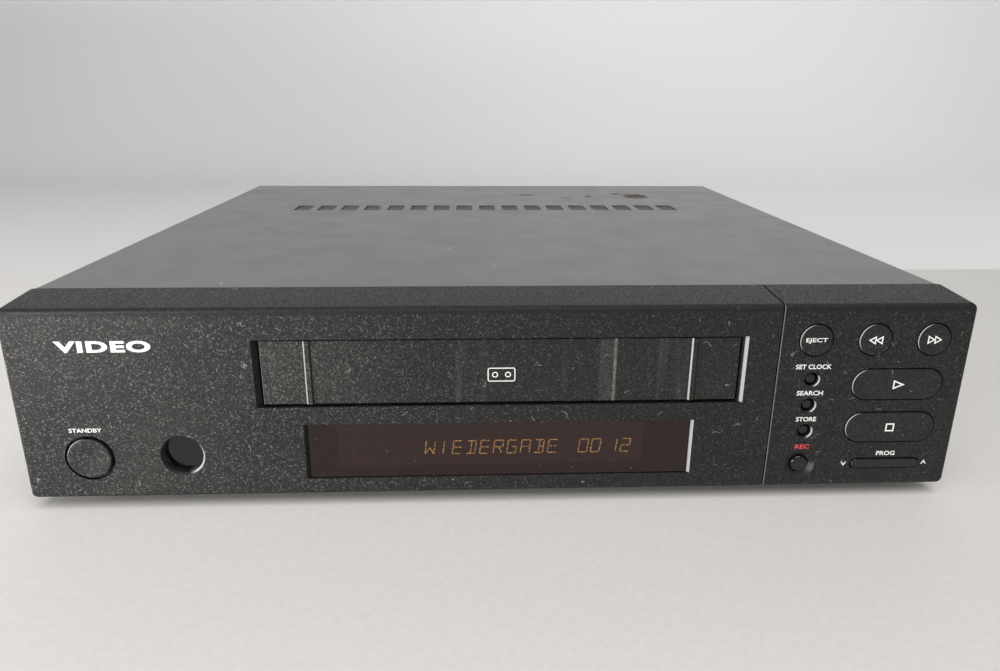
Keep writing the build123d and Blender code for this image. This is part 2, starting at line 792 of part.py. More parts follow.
rocker_stem = 10.0
with BuildPart() as program_rocker:
    with BuildSketch(Plane.XZ.offset(-(front_y - button_proud))):
        with Locations((rocker_x, record_z)):
            SlotOverall(rocker_width - 2 * button_gap, rocker_height - 2 * button_gap)
    extrude(amount=-(rocker_y + 1.6 - front_y + button_proud))
    fillet(program_rocker.faces().sort_by(Axis.Y)[0].edges(), 0.4)
    reach = rocker_height / 2 + rocker_lug / 2
    post(rocker_x, rocker_y, rocker_pin_radius, record_z - reach, record_z + reach)
    for side in (-1, 1):
        bar_y(rocker_x + side * rocker_stem, record_z, 1.6, rocker_y, stem_end_y)
save(program_rocker, "program_rocker")

# ================= Front boards =================
operation_low_x = control_low_x + moulding_wall + 2
operation_high_x = side_x - moulding_wall - board_margin - 2
operation_top = foot_gap + round_row + small_round_hole + 5.0
tube_low_x = slot_x - 71.5
tube_high_x = slot_x + 62.5
tube_height = 22.0
tube_depth = 5.0
tube_spacer = 11.0
receiver_width = 10.0
receiver_depth = 6.0

with BuildPart() as display_board:
    slab(front_board_low_x, front_board_high_x, front_board_y, front_board_back_y,
         front_board_z, front_board_top)
save(display_board, "display_board")

with BuildPart() as operation_board:
    slab(operation_low_x, operation_high_x, front_board_y, front_board_back_y,
         front_board_z, operation_top)
save(operation_board, "operation_board")

switch_places = [(standby_x, standby_z), (record_x, record_z)]
switch_places += [(seam_x + x, foot_gap + round_row) for x in round_places.values()]
switch_places += [(seam_x + large_x, foot_gap + z) for z in large_places.values()]
switch_places += [(seam_x + set_x, foot_gap + z) for z in set_places.values()]
switch_places += [(rocker_x + side * rocker_stem, record_z) for side in (-1, 1)]
with BuildPart() as tact_switches:
    for x, z in switch_places:
        slab(x - switch_width / 2, x + switch_width / 2, front_board_y - switch_height,
             front_board_y, z - switch_width / 2, z + switch_width / 2)
        bar_y(x, z, switch_plunger_radius, switch_face_y, front_board_y - switch_height)
save(tact_switches, "tact_switches")

with BuildPart() as display_tube:
    tube_mid_z = (window_low_z + window_high_z) / 2
    spacer_front_y = front_board_y - tube_spacer
    slab(tube_low_x, tube_high_x, spacer_front_y - tube_depth, spacer_front_y,
         tube_mid_z - tube_height / 2, tube_mid_z + tube_height / 2)
    slab(tube_low_x + 4, tube_high_x - 4, spacer_front_y, front_board_y,
         tube_mid_z - tube_height / 2 + 4, tube_mid_z + tube_height / 2 - 4)
save(display_tube, "display_tube")

with BuildPart() as ir_receiver:
    slab(ir_x - receiver_width / 2, ir_x + receiver_width / 2, front_board_y - receiver_depth,
         front_board_y, ir_z - receiver_width / 2, ir_z + receiver_width / 2)
    with Locations((ir_x, front_board_y - receiver_depth, ir_z)):
        Sphere(2.6)
save(ir_receiver, "ir_receiver")

# ================= Main and power boards =================
post_hole = post_radius + 1.0
screw_hole = inner_screw + 0.2
with BuildPart() as main_board:
    slab(main_low_x, board_side_x, board_front_y, board_rear_y, board_z, board_top)
    for x, y in deck_posts:
        post(x, y, post_hole, board_z, board_top, Mode.SUBTRACT)
    for x, y in board_bosses[4:]:
        post(x, y, screw_hole, board_z, board_top, Mode.SUBTRACT)
save(main_board, "main_board")

with BuildPart() as power_board:
    slab(-board_side_x, power_high_x, board_front_y, board_rear_y, board_z, board_top)
    for x, y in board_bosses[:4]:
        post(x, y, screw_hole, board_z, board_top, Mode.SUBTRACT)
save(power_board, "power_board")

flywheel_height = 4.2
stator_height = 2.8
capstan_x = slot_x + 62.5
capstan_y = loaded_edge_y + 16.0
flywheel_top = deck_z - stator_height - seat_gap
bay_x = deck_high_x + deck_flange + 2  # right bay, beside the deck
deep_y = deck_rear_y + 8.0  # behind the deck

with BuildPart() as main_board_parts:
    # flat chips under the deck, in two rows that stay clear of the flywheel
    for row_y in (boss_front_y + 25.0, boss_front_y + 60.0):
        for column in range(4):
            x = main_low_x + 22.0 + 26.0 * column
            slab(x - 8, x + 8, row_y - 8, row_y + 8, board_top, board_top + 2.6)
    # screened signal block in the right bay
    slab(bay_x, board_side_x - 4, boss_mid_y + 10, boss_mid_y + 74, board_top, board_top + 15)
    # standing capacitors in front of the screened block
    for column in range(4):
        for row_y in (boss_front_y + 30.0, boss_front_y + 46.0):
            x = bay_x + 9.0 + 15.0 * column
            post(x, row_y, 5.0, board_top, board_top + 18)
    # socket for the lead to the rear, and regulators behind the deck
    for column in range(3):
        x = main_low_x + 20.0 + 22.0 * column
        slab(x - 5, x + 5, deep_y, deep_y + 4.5, board_top, board_top + 19)
        post(x, deep_y + 16.0, 4.0, board_top, board_top + 14)
    slab(slot_x + 16, slot_x + 52, deep_y, deep_y + 22, board_top, board_top + 4)
    slab(slot_x + 62, slot_x + 78, deep_y, deep_y + 22, board_top, board_top + 12)
save(main_board_parts, "main_board_parts")

power_room = power_high_x + board_side_x  # width of the power board
core_width = 0.76 * power_room
core_depth = 26.0
core_height = 47.0
core_leg = 0.32 * core_width
core_window = 0.18 * core_width
winding_reach = 9.0
power_mid_x = (power_high_x - board_side_x) / 2
core_y = rear_inner_y - 78.0
window_height = core_height - core_leg
core_mid_z = board_top + core_height / 2
with BuildPart() as power_transformer:
    with BuildSketch(Plane.XZ.offset(-(core_y - core_depth / 2))):
        with Locations((power_mid_x, core_mid_z)):
            Rectangle(core_width, core_height)
            with GridLocations(core_leg + core_window, 1, 2, 1):
                Rectangle(core_window, window_height, mode=Mode.SUBTRACT)
    extrude(amount=-core_depth)
    # winding round the middle leg
    with BuildSketch(Plane.XY.offset(core_mid_z - window_height / 2 + seat_gap)):
        with Locations((power_mid_x, core_y)):
            RectangleRounded(core_leg + 2 * core_window - 1, core_depth + 2 * winding_reach, 3)
            Rectangle(core_leg + 2 * seat_gap, core_depth + 2 * seat_gap, mode=Mode.SUBTRACT)
    extrude(amount=window_height - 2 * seat_gap)
save(power_transformer, "power_transformer")

with BuildPart() as smoothing_capacitors:
    # places across and radii as shares of the board's width
    for across, dy, share, height in (
        (-0.27, -58, 0.15, 32),
        (0.08, -58, 0.15, 32),
        (-0.33, -86, 0.11, 26),
        (-0.05, -86, 0.11, 26),
        (0.22, -86, 0.11, 26),
    ):
        post(power_mid_x + across * power_room, core_y + dy, share * power_room, board_top,
             board_top + height)
save(smoothing_capacitors, "smoothing_capacitors")

sink_length = 0.79 * power_room
sink_height = 38.0
sink_base = 3.0
sink_fins = 7
with BuildPart() as heat_sink:
    sink_y = core_y - 110.0
    with BuildSketch(Plane.XY.offset(board_top)):
        with Locations((power_mid_x, sink_y)):
            Rectangle(sink_length, sink_base)
        with Locations((power_mid_x, sink_y - sink_base / 2 - 6)):
            with GridLocations(sink_length / sink_fins, 1, sink_fins, 1):
                Rectangle(1.4, 12.2)
    extrude(amount=sink_height)
save(heat_sink, "heat_sink")

# ================= Rear sockets =================
with BuildPart() as tuner_module:
    slab(tuner_low_x, tuner_high_x, tuner_rear_y - tuner_depth, tuner_rear_y, tuner_z,
         tuner_z + tuner_height)
    for x in (antenna_x, antenna_x + antenna_pitch):
        bar_y(x, antenna_low_z, socket_radius + 0.6, tuner_rear_y, rear_face_y)
        bar_y(x, antenna_low_z, socket_radius, tuner_rear_y, rear_face_y + socket_length)
        bar_y(x, antenna_low_z, socket_radius - 0.8, rear_face_y, rear_face_y + socket_length,
              Mode.SUBTRACT)
        bar_y(x, antenna_low_z, 1.2, rear_face_y, rear_face_y + socket_length - 1.5)
save(tuner_module, "tuner_module")

with BuildPart() as scart_sockets:
    for x in scart_x:
        slab(x - scart_width / 2, x + scart_width / 2, rear_inner_y - scart_depth,
             rear_face_y + 1.5, scart_z, scart_z + scart_height)
        slab(x - scart_width / 2, x + scart_width / 2, rear_inner_y - scart_depth,
             rear_inner_y - 4, board_top, scart_z)
        # shroud with the contact block standing in it
        slab(x - scart_width / 2 + 1.2, x + scart_width / 2 - 1.2, rear_inner_y - 6,
             rear_face_y + 1.5, scart_z + 1.2, scart_z + scart_height - 1.2, Mode.SUBTRACT)
        slab(x - scart_width / 2 + 3.4, x + scart_width / 2 - 3.4, rear_inner_y - 6,
             rear_face_y - scart_recess, scart_z + 4.4, scart_z + scart_height - 4.4)
save(scart_sockets, "scart_sockets")

with BuildPart() as mains_inlet:
    slab(inlet_x - inlet_width / 2, inlet_x + inlet_width / 2, rear_inner_y - inlet_depth,
         rear_face_y + 1.5, inlet_z, inlet_z + inlet_height)
    slab(inlet_x - inlet_width / 2, inlet_x + inlet_width / 2, rear_inner_y - inlet_depth,
         rear_inner_y - 4, board_top, inlet_z)
    with BuildSketch(Plane.XZ.offset(-(rear_face_y + 1.5))):
        with Locations((inlet_x, inlet_z + inlet_height / 2)):
            with GridLocations(7.6, 1, 2, 1):
                Circle(4.6)
            Rectangle(7.6, 6.6)
    extrude(amount=14, mode=Mode.SUBTRACT)
    for side in (-1, 1):
        bar_y(inlet_x + side * 4.3, inlet_z + inlet_height / 2, 1.2, rear_face_y - 12.5,
              rear_face_y - 2)
save(mains_inlet, "mains_inlet")

# ================= Deck =================
guide_pin = 1.9
guide_slot = guide_pin + pin_play
guide_start_y = loaded_edge_y - 8.0
guide_end_y = drum_y + 6.0
guide_start_x = 27.0
guide_end_x = 41.0
supply_path = ((slot_x - guide_start_x, guide_start_y), (slot_x - guide_end_x, guide_end_y))
takeup_path = ((slot_x + guide_start_x, guide_start_y), (slot_x + guide_end_x, guide_end_y))
supply_x = slot_x - reel_spacing / 2
takeup_x = slot_x + reel_spacing / 2
bearing_radius = 5.0
pinch_x = slot_x + 90.5
pinch_y = loaded_edge_y + 10.0
pivot_radius = 2.0
tension_x = slot_x - 79.5
tension_y = loaded_edge_y + 10.0
gear_x = deck_low_x + 38.5
gear_y = deck_rear_y - 23.0
arm_z = cassette_down_z + 2.5
arm_sheet = 1.5
arm_hub = 4.5
reel_disc_z = deck_top + 0.5
reel_disc_height = cassette_stand - 1.1
reel_pin_top = cassette_down_z + 12.0
tension_z = deck_top + 1.0
gear_z = deck_top + 0.8
support_places = [(x, y) for x in (slot_x - 60, slot_x + 60) for y in (reel_y - 32, reel_y + 36)]


def path_slot(path, half_width, spare):
    """Straight slot along a guide's path, for the sketch being built."""
    (x0, y0), (x1, y1) = path
    length = hypot(x1 - x0, y1 - y0) + 2 * spare
    angle = degrees(atan2(y1 - y0, x1 - x0))
    with Locations(((x0 + x1) / 2, (y0 + y1) / 2)):
        SlotOverall(length + 2 * half_width, 2 * half_width, rotation=angle)


with BuildPart() as deck_chassis:
    slab(deck_low_x, deck_high_x, deck_front_y, deck_rear_y, deck_z, deck_top)
    for x0, x1 in (
        (deck_low_x, deck_low_x + deck_sheet),
        (deck_high_x - deck_sheet, deck_high_x),
    ):
        slab(x0, x1, deck_front_y, deck_rear_y, deck_z - deck_flange, deck_top)
    with BuildSketch(Plane.XY.offset(deck_z)):
        path_slot(supply_path, guide_slot, 0.5)
        path_slot(takeup_path, guide_slot, 0.5)
        with Locations((capstan_x, capstan_y)):
            Circle(bearing_radius + pin_play)
        with Locations(deck_posts):
            Circle(screw_hole)
    extrude(amount=deck_sheet, mode=Mode.SUBTRACT)
    for x in (supply_x, takeup_x):
        post(x, reel_y, reel_pin_radius, deck_top, reel_pin_top)
    post(pinch_x, pinch_y, pivot_radius, deck_top, arm_z + arm_sheet + 6)
    post(pinch_x, pinch_y, pivot_radius + 1.5, deck_top, arm_z - pin_play)
    post(tension_x, tension_y, pivot_radius, deck_top, tension_z + arm_sheet + 5)
    post(tension_x, tension_y, pivot_radius + 1.5, deck_top, tension_z - pin_play)
    post(gear_x, gear_y, pivot_radius, deck_top, gear_z + gear_width + 1.5)
    post(gear_x, gear_y, pivot_radius + 1.5, deck_top, gear_z - pin_play)
    for x, y in support_places:
        post(x, y, 2.5, deck_top, cassette_down_z - pin_play)
    # fixed guide posts on the way into and out of the drum
    post(slot_x - 46.0, loaded_edge_y + 10.0, 2.5, deck_top, tape_z + 11)
    post(slot_x + 46.0, loaded_edge_y + 10.0, 2.5, deck_top, tape_z + 11)
save(deck_chassis, "deck_chassis")

with BuildPart() as inner_screws:
    for x, y in deck_posts:
        post(x, y, screw_head - 0.4, deck_top, deck_top + 1.8)
        post(x, y, inner_screw, deck_z - 8.0, deck_top)
    for x, y in board_bosses:
        post(x, y, screw_head - 0.4, board_top, board_top + 1.8)
        post(x, y, inner_screw, frame_floor_top + 0.2, board_top)
save(inner_screws, "inner_screws")

# ---- Tilted drum: fixed lower half with a spindle, turning upper half ----
spindle_radius = 3.0
lower_height = (
    (tape_z - deck_top - 0.6 - drum_radius * sin(radians(drum_tilt))) / cos(radians(drum_tilt))
    - drum_gap / 2
)
drum_plane = Plane(
    origin=(slot_x, drum_y, tape_z),
    x_dir=(1, 0, 0),
    z_dir=(0, -sin(radians(drum_tilt)), cos(radians(drum_tilt))),
)
with BuildPart() as drum_lower:
    with BuildSketch(drum_plane.offset(-drum_gap / 2)):
        Circle(drum_radius)
    extrude(amount=-lower_height)
    with BuildSketch(drum_plane.offset(-drum_gap / 2)):
        Circle(spindle_radius)
    extrude(amount=drum_upper_height + drum_gap / 2 + 2.0)
    post(slot_x, drum_y, drum_radius * 0.62, deck_top, tape_z - lower_height / 2)
save(drum_lower, "drum_lower")

head_notch = 3.0
with BuildPart() as drum_upper:
    with BuildSketch(drum_plane.offset(drum_gap / 2)):
        Circle(drum_radius)
        Circle(spindle_radius + running_play, mode=Mode.SUBTRACT)
    extrude(amount=drum_upper_height)
    # recess in the top round the hub, with four balancing holes in its floor
    with BuildSketch(drum_plane.offset(drum_gap / 2 + drum_upper_height - 5)):
        Circle(drum_radius - 4)
        Circle(10, mode=Mode.SUBTRACT)
    extrude(amount=5, mode=Mode.SUBTRACT)
    with BuildSketch(drum_plane.offset(drum_gap / 2)):
        with PolarLocations(drum_radius - 9, 4, start_angle=45):
            Circle(2.5)
        with PolarLocations(drum_radius, 2):
            Rectangle(3.0, head_notch)
    extrude(amount=2.0, mode=Mode.SUBTRACT)
save(drum_upper, "drum_upper")

# ---- Capstan ----
shaft_top = tape_z + 14.0
bearing_top = arm_z - 0.5
with BuildPart() as capstan_motor:
    post(capstan_x, capstan_y, flywheel_radius - 3, deck_z - stator_height, deck_z)
    post(capstan_x, capstan_y, bearing_radius, deck_z - stator_height, bearing_top)
    post(capstan_x, capstan_y, capstan_radius + running_play, deck_z - stator_height,
         bearing_top, Mode.SUBTRACT)
save(capstan_motor, "capstan_motor")

with BuildPart() as capstan_flywheel:
    post(capstan_x, capstan_y, flywheel_radius, flywheel_top - flywheel_height, flywheel_top)
    post(capstan_x, capstan_y, capstan_radius, flywheel_top - flywheel_height, shaft_top)
    with BuildSketch(Plane.XY.offset(flywheel_top - flywheel_height)):
        with Locations((capstan_x, capstan_y)):
            Circle(flywheel_radius - 4)
            Circle(6, mode=Mode.SUBTRACT)
    extrude(amount=flywheel_height / 2, mode=Mode.SUBTRACT)
save(capstan_flywheel, "capstan_flywheel")

# ---- Pinch arm and roller: parked clear of the capstan, swings on to it ----
pinch_swing = 25.0
press_x = capstan_x - 0.3 * (roller_radius + capstan_radius + 0.1)
press_y = capstan_y - sqrt(1 - 0.3**2) * (roller_radius + capstan_radius + 0.1)
arm_length = hypot(press_x - pinch_x, press_y - pinch_y)
rest_angle = atan2(press_y - pinch_y, press_x - pinch_x) + radians(pinch_swing)
roller_x = pinch_x + arm_length * cos(rest_angle)
roller_y = pinch_y + arm_length * sin(rest_angle)
roller_pin = 1.5
roller_z0 = arm_z + arm_sheet + 0.3
roller_height = 15.0


def lever(x0, y0, x1, y1, half_width, z0, z1):
    """Flat arm with round ends from one centre to another, in the part being built."""
    with BuildSketch(Plane.XY.offset(z0)) as outline:
        with Locations(((x0 + x1) / 2, (y0 + y1) / 2)):
            SlotOverall(
                hypot(x1 - x0, y1 - y0) + 2 * half_width,
                2 * half_width,
                rotation=degrees(atan2(y1 - y0, x1 - x0)),
            )
    extrude(outline.sketch, amount=z1 - z0)


with BuildPart() as pinch_arm:
    lever(pinch_x, pinch_y, roller_x, roller_y, arm_hub, arm_z, arm_z + arm_sheet)
    post(pinch_x, pinch_y, arm_hub, arm_z, arm_z + arm_sheet + 5)
    post(roller_x, roller_y, roller_pin, arm_z, roller_z0 + roller_height + 1)
    post(pinch_x, pinch_y, pivot_radius + running_play, arm_z, arm_z + arm_sheet + 5,
         Mode.SUBTRACT)
save(pinch_arm, "pinch_arm")

with BuildPart() as pinch_roller:
    post(roller_x, roller_y, roller_radius, roller_z0, roller_z0 + roller_height)
    post(roller_x, roller_y, roller_pin + running_play, roller_z0, roller_z0 + roller_height,
         Mode.SUBTRACT)
save(pinch_roller, "pinch_roller")

# ---- Reel tables ----
spline_count = 6
for name, x in (("supply_reel", supply_x), ("takeup_reel", takeup_x)):
    with BuildPart() as reel:
        post(x, reel_y, reel_radius, reel_disc_z, reel_disc_z + reel_disc_height)
        post(x, reel_y, 4.0, reel_disc_z, reel_pin_top)
        with BuildSketch(Plane.XY.offset(reel_disc_z + reel_disc_height)):
            with Locations((x, reel_y)):
                with PolarLocations(3.5, spline_count):
                    Rectangle(4.0, 1.4)
        extrude(amount=reel_pin_top - 2 - reel_disc_z - reel_disc_height)
        post(x, reel_y, reel_pin_radius + running_play, reel_disc_z, reel_pin_top, Mode.SUBTRACT)
    save(reel, name)

# ---- Tension arm ----
tension_reach_x = 24.0
tension_reach_y = -12.0
with BuildPart() as tension_arm:
    end_x, end_y = tension_x + tension_reach_x, tension_y + tension_reach_y
    lever(tension_x, tension_y, end_x, end_y, 3.2, tension_z, tension_z + arm_sheet)
    post(tension_x, tension_y, arm_hub, tension_z, tension_z + arm_sheet + 4)
    post(end_x, end_y, 1.6, tension_z, tape_z + 11)
    post(tension_x, tension_y, pivot_radius + running_play, tension_z,
         tension_z + arm_sheet + 4, Mode.SUBTRACT)
save(tension_arm, "tension_arm")

# ---- Loading guides, each a carrier in its slot with a roller and a slanted post ----
guide_base = 5.0
guide_base_height = 3.4
for name, path, side in (("supply_guide", supply_path, -1), ("takeup_guide", takeup_path, 1)):
    gx, gy = path[0]
    base_z = deck_top + pin_play
    with BuildPart() as guide:
        lever(gx, gy - 2.0, gx, gy + 2.0, guide_base, base_z, base_z + guide_base_height)
        post(gx, gy, guide_pin, deck_z - 1.2, base_z)
        post(gx, gy, guide_pin + 1.6, deck_z - 1.2, deck_z - pin_play)
        post(gx, gy - 1.5, 3.0, base_z, tape_z + 10)
        post(gx, gy - 1.5, 3.4, tape_z + 9, tape_z + 11)
        with Locations(Location((gx - side * 1.0, gy + 3.8, tape_z - 2), (0, -side * 12, 0))):
            Cylinder(1.2, 2 * (tape_z - base_z - guide_base_height) * 0.86)
    save(guide, name)

# ---- Heads ----
erase_x = slot_x - 61.5
erase_y = drum_y - 18.0
with BuildPart() as erase_head:
    slab(erase_x - 6, erase_x + 6, erase_y - 4, erase_y + 4, tape_z - 8, tape_z + 8)
    slab(erase_x - 7, erase_x + 7, erase_y - 5, erase_y + 5, tape_z - 10, tape_z - 8)
    post(erase_x, erase_y, 3.0, deck_top, tape_z - 10)
save(erase_head, "erase_head")

audio_x = slot_x + 58.0
audio_y = drum_y - 12.0
with BuildPart() as audio_head:
    slab(audio_x - 5, audio_x + 5, audio_y - 5, audio_y + 5, tape_z - 8, tape_z + 8)
    slab(audio_x - 8, audio_x + 8, audio_y - 6, audio_y + 6, tape_z - 10, tape_z - 8)
    post(audio_x, audio_y, 3.5, deck_top, tape_z - 10)
save(audio_head, "audio_head")


# ---- Loading gear train ----
pressure_angle = radians(25)
backlash = 0.25
gear_addendum = 0.8
gear_dedendum = 1.2


def gear_outline(teeth, phase):
    """Points of an involute gear's outline; one tooth is centred on the angle phase."""
    pitch_r = gear_module * teeth / 2
    base_r = pitch_r * cos(pressure_angle)
    root_r = pitch_r - gear_module * gear_dedendum
    tip_r = pitch_r + gear_module * gear_addendum
    pitch_half = pi / (2 * teeth) - backlash / (2 * pitch_r)

    def half_angle(r):
        roll = acos(min(1.0, base_r / r))
        return pitch_half + tan(pressure_angle) - pressure_angle - (tan(roll) - roll)

    flank_start = max(base_r, root_r)
    flank = [root_r] if root_r < base_r else []
    flank += [flank_start + (tip_r - flank_start) * step / 4 for step in range(5)]
    points = []
    for tooth in range(teeth):
        centre = phase + 2 * pi * tooth / teeth
        for r in flank:
            angle = centre - half_angle(max(r, flank_start))
            points.append((r * cos(angle), r * sin(angle)))
        for r in reversed(flank):
            angle = centre + half_angle(max(r, flank_start))
            points.append((r * cos(angle), r * sin(angle)))
    return points


def gear_blank(x, y, teeth, phase, z, height):
    """Toothed disc in the part being built."""
    with BuildSketch(Plane.XY.offset(z)) as outline:
        with BuildLine(Plane.XY.offset(z)):
            Polyline([(x + px, y + py) for px, py in gear_outline(teeth, phase)], close=True)
        make_face()
    extrude(outline.sketch, amount=height)


mesh_direction = radians(210)
centre_distance = gear_module * (gear_teeth + pinion_teeth) / 2
pinion_x = gear_x + centre_distance * cos(mesh_direction)
pinion_y = gear_y + centre_distance * sin(mesh_direction)
with BuildPart() as loading_gear:
    gear_blank(gear_x, gear_y, gear_teeth, mesh_direction, gear_z, gear_width)
    with BuildSketch(Plane.XY.offset(gear_z)):
        with Locations((gear_x, gear_y)):
            with PolarLocations(gear_module * gear_teeth * 0.3, 5):
                Circle(gear_module * gear_teeth * 0.09)
            Circle(pivot_radius + running_play)
    extrude(amount=gear_width, mode=Mode.SUBTRACT)
save(loading_gear, "loading_gear")

motor_shaft = 1.0
motor_radius = 11.0
motor_height = 24.0
bracket_z = gear_z + gear_width + 1.8
bracket_sheet = 1.2
motor_z = bracket_z + bracket_sheet
with BuildPart() as loading_pinion:
    gear_blank(pinion_x, pinion_y, pinion_teeth, mesh_direction + pi + pi / pinion_teeth,
               gear_z, gear_width + 0.8)
    post(pinion_x, pinion_y, motor_shaft, gear_z, motor_z + motor_height - 4)
save(loading_pinion, "loading_pinion")

with BuildPart() as loading_motor:
    post(pinion_x, pinion_y, motor_radius + 5.5, bracket_z, motor_z)
    post(pinion_x, pinion_y, motor_radius, motor_z, motor_z + motor_height)
    fillet(loading_motor.edges().sort_by(Axis.Z)[-1], 1.5)
    post(pinion_x, pinion_y, motor_shaft + running_play, bracket_z, motor_z + motor_height - 3,
         Mode.SUBTRACT)
    for angle in (150, 210, 270):
        leg_x = pinion_x + (motor_radius + 2.5) * cos(radians(angle))
        leg_y = pinion_y + (motor_radius + 2.5) * sin(radians(angle))
        post(leg_x, leg_y, 2.0, deck_top, bracket_z)
save(loading_motor, "loading_motor")

# ================= Basket, carriage and side rails =================
runner_y = [basket_front_y + 7.0, basket_rear_y - 7.0]
runner_z = hinge_z - 6.0
basket_pin_y = [basket_front_y + 12.0, basket_rear_y - 12.0]
basket_pin_z = cassette_up_z + 12.0
pin_slot = slide_pin_radius + pin_play
rail_rear_y = basket_rear_y + load_travel + 3.0
bar_z = basket_top_z + 5.2
rail_top = runner_z + 14.0
rail_foot = 8.0

with BuildPart() as side_rails:
    for side in (-1, 1):
        x0, x1 = sorted((slot_x + side * rail_inner, slot_x + side * rail_outer))
        with BuildSketch(Plane.YZ.offset(x0)):
            with Locations(((deck_front_y + rail_rear_y) / 2, (deck_top + rail_top) / 2)):
                Rectangle(rail_rear_y - deck_front_y, rail_top - deck_top)
            slot_mid_y = (runner_y[0] + runner_y[1] + load_travel) / 2
            slot_length = runner_y[1] - runner_y[0] + load_travel + 2 * pin_slot + 1.0
            with Locations((slot_mid_y, runner_z)):
                SlotOverall(slot_length, 2 * pin_slot, mode=Mode.SUBTRACT)
            with Locations((slot_mid_y, (deck_top + runner_z) / 2)):
                RectangleRounded(slot_length - 40, (runner_z - deck_top) * 0.45, 4,
                                 mode=Mode.SUBTRACT)
        extrude(amount=x1 - x0)
        foot = sorted((slot_x + side * rail_inner, slot_x + side * (rail_outer + rail_foot)))
        slab(foot[0], foot[1], deck_front_y + 24, rail_rear_y, deck_top, deck_top + rail_sheet)
save(side_rails, "side_rails")

with BuildPart() as basket_carriage:
    for side in (-1, 1):
        x0, x1 = sorted((slot_x + side * carriage_inner, slot_x + side * carriage_outer))
        carriage_low = basket_pin_z - lift_travel - pin_slot - 4.0
        with BuildSketch(Plane.YZ.offset(x0)):
            with Locations(((basket_front_y + basket_rear_y) / 2, (carriage_low + bar_z) / 2)):
                Rectangle(basket_depth, bar_z - carriage_low)
            for y in basket_pin_y:
                with Locations((y, basket_pin_z - lift_travel / 2)):
                    SlotOverall(lift_travel + 2 * pin_slot + 0.4, 2 * pin_slot, rotation=90,
                                mode=Mode.SUBTRACT)
        extrude(amount=x1 - x0)
        runner = sorted((slot_x + side * carriage_outer, slot_x + side * (rail_outer + 1.0)))
        for y in runner_y:
            bar_x(y, runner_z, slide_pin_radius, runner[0], runner[1])
    slab(slot_x - carriage_outer, slot_x + carriage_outer, basket_front_y + 16,
         basket_rear_y - 14, bar_z, bar_z + rail_sheet)
save(basket_carriage, "basket_carriage")

with BuildPart() as cassette_basket:
    top = basket_top_z - basket_sheet
    ledge_z = cassette_up_z - basket_sheet
    slab(slot_x - basket_outer, slot_x + basket_outer, basket_front_y, basket_rear_y, top,
         basket_top_z)
    for side in (-1, 1):
        wall = sorted((slot_x + side * basket_inner, slot_x + side * basket_outer))
        slab(wall[0], wall[1], basket_front_y, basket_rear_y, ledge_z, basket_top_z)
        wall_face = slot_x + side * basket_inner
        ledge = sorted((slot_x + side * (cassette_width / 2 - basket_ledge), wall_face))
        slab(ledge[0], ledge[1], basket_front_y, basket_rear_y, ledge_z, cassette_up_z)
        tab = sorted((slot_x + side * (cassette_width / 2 - 6.0), wall_face))
        slab(tab[0], tab[1], basket_rear_y - basket_sheet, basket_rear_y, ledge_z, basket_top_z)
        pin = sorted((slot_x + side * basket_outer, slot_x + side * (carriage_outer + 0.6)))
        for y in basket_pin_y:
            bar_x(y, basket_pin_z, slide_pin_radius, pin[0], pin[1])
    # openings in the top plate
    with BuildSketch(Plane.XY.offset(top)):
        with Locations((slot_x, (basket_front_y + basket_rear_y) / 2)):
            with GridLocations(58.0, 1, 3, 1):
                RectangleRounded(40.0, basket_depth - 20.0, 3)
    extrude(amount=basket_sheet, mode=Mode.SUBTRACT)
save(cassette_basket, "cassette_basket")

# ================= Ribbon leads from the front boards to the main board =================
ribbon_width = 16.0
ribbon_sheet = 0.5
ribbon_z = board_top + 3.6
ribbon_rear_y = board_front_y + 2.4
with BuildPart() as ribbon_leads:
    for x in (front_board_high_x - 30.0, operation_low_x + 26.0):
        with BuildSketch(Plane.YZ.offset(x - ribbon_width / 2)):
            with BuildLine():
                Polyline(
                    (front_board_back_y, ribbon_z),
                    (ribbon_rear_y, ribbon_z),
                    (ribbon_rear_y, board_top),
                    (ribbon_rear_y - ribbon_sheet, board_top),
                    (ribbon_rear_y - ribbon_sheet, ribbon_z - ribbon_sheet),
                    (front_board_back_y, ribbon_z - ribbon_sheet),
                    close=True,
                )
            make_face()
        extrude(amount=ribbon_width)
save(ribbon_leads, "ribbon_leads")
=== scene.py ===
"""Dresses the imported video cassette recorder: finishes, prints, screws, display and camera."""
import math

import bmesh
import bpy
from mathutils import Matrix, Vector


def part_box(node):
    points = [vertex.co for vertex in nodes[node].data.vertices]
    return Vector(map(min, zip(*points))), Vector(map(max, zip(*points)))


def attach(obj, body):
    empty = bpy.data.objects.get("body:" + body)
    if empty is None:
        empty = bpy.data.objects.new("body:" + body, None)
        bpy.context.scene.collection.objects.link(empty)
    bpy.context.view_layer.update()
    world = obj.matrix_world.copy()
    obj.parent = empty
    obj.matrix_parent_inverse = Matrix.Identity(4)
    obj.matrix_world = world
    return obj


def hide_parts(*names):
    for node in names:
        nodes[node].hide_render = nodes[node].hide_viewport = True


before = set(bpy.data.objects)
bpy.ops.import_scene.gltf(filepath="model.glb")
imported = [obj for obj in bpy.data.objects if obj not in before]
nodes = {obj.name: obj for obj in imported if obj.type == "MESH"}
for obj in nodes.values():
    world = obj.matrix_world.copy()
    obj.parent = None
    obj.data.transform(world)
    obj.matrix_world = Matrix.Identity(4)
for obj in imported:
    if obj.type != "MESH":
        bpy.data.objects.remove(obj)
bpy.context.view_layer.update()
mm = 0.001

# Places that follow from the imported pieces.
FRONT_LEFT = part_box("front_panel")[0].x
FACE_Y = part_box("front_panel")[0].y
CREASE_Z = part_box("front_panel")[1].z - 2.1 * mm
SEAM_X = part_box("control_panel")[0].x
WINDOW_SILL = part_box("display_window")[0].z
TUBE_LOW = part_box("display_tube")[0]
COVER_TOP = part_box("top_cover")[1].z
REAR_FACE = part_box("rear_panel")[1].y

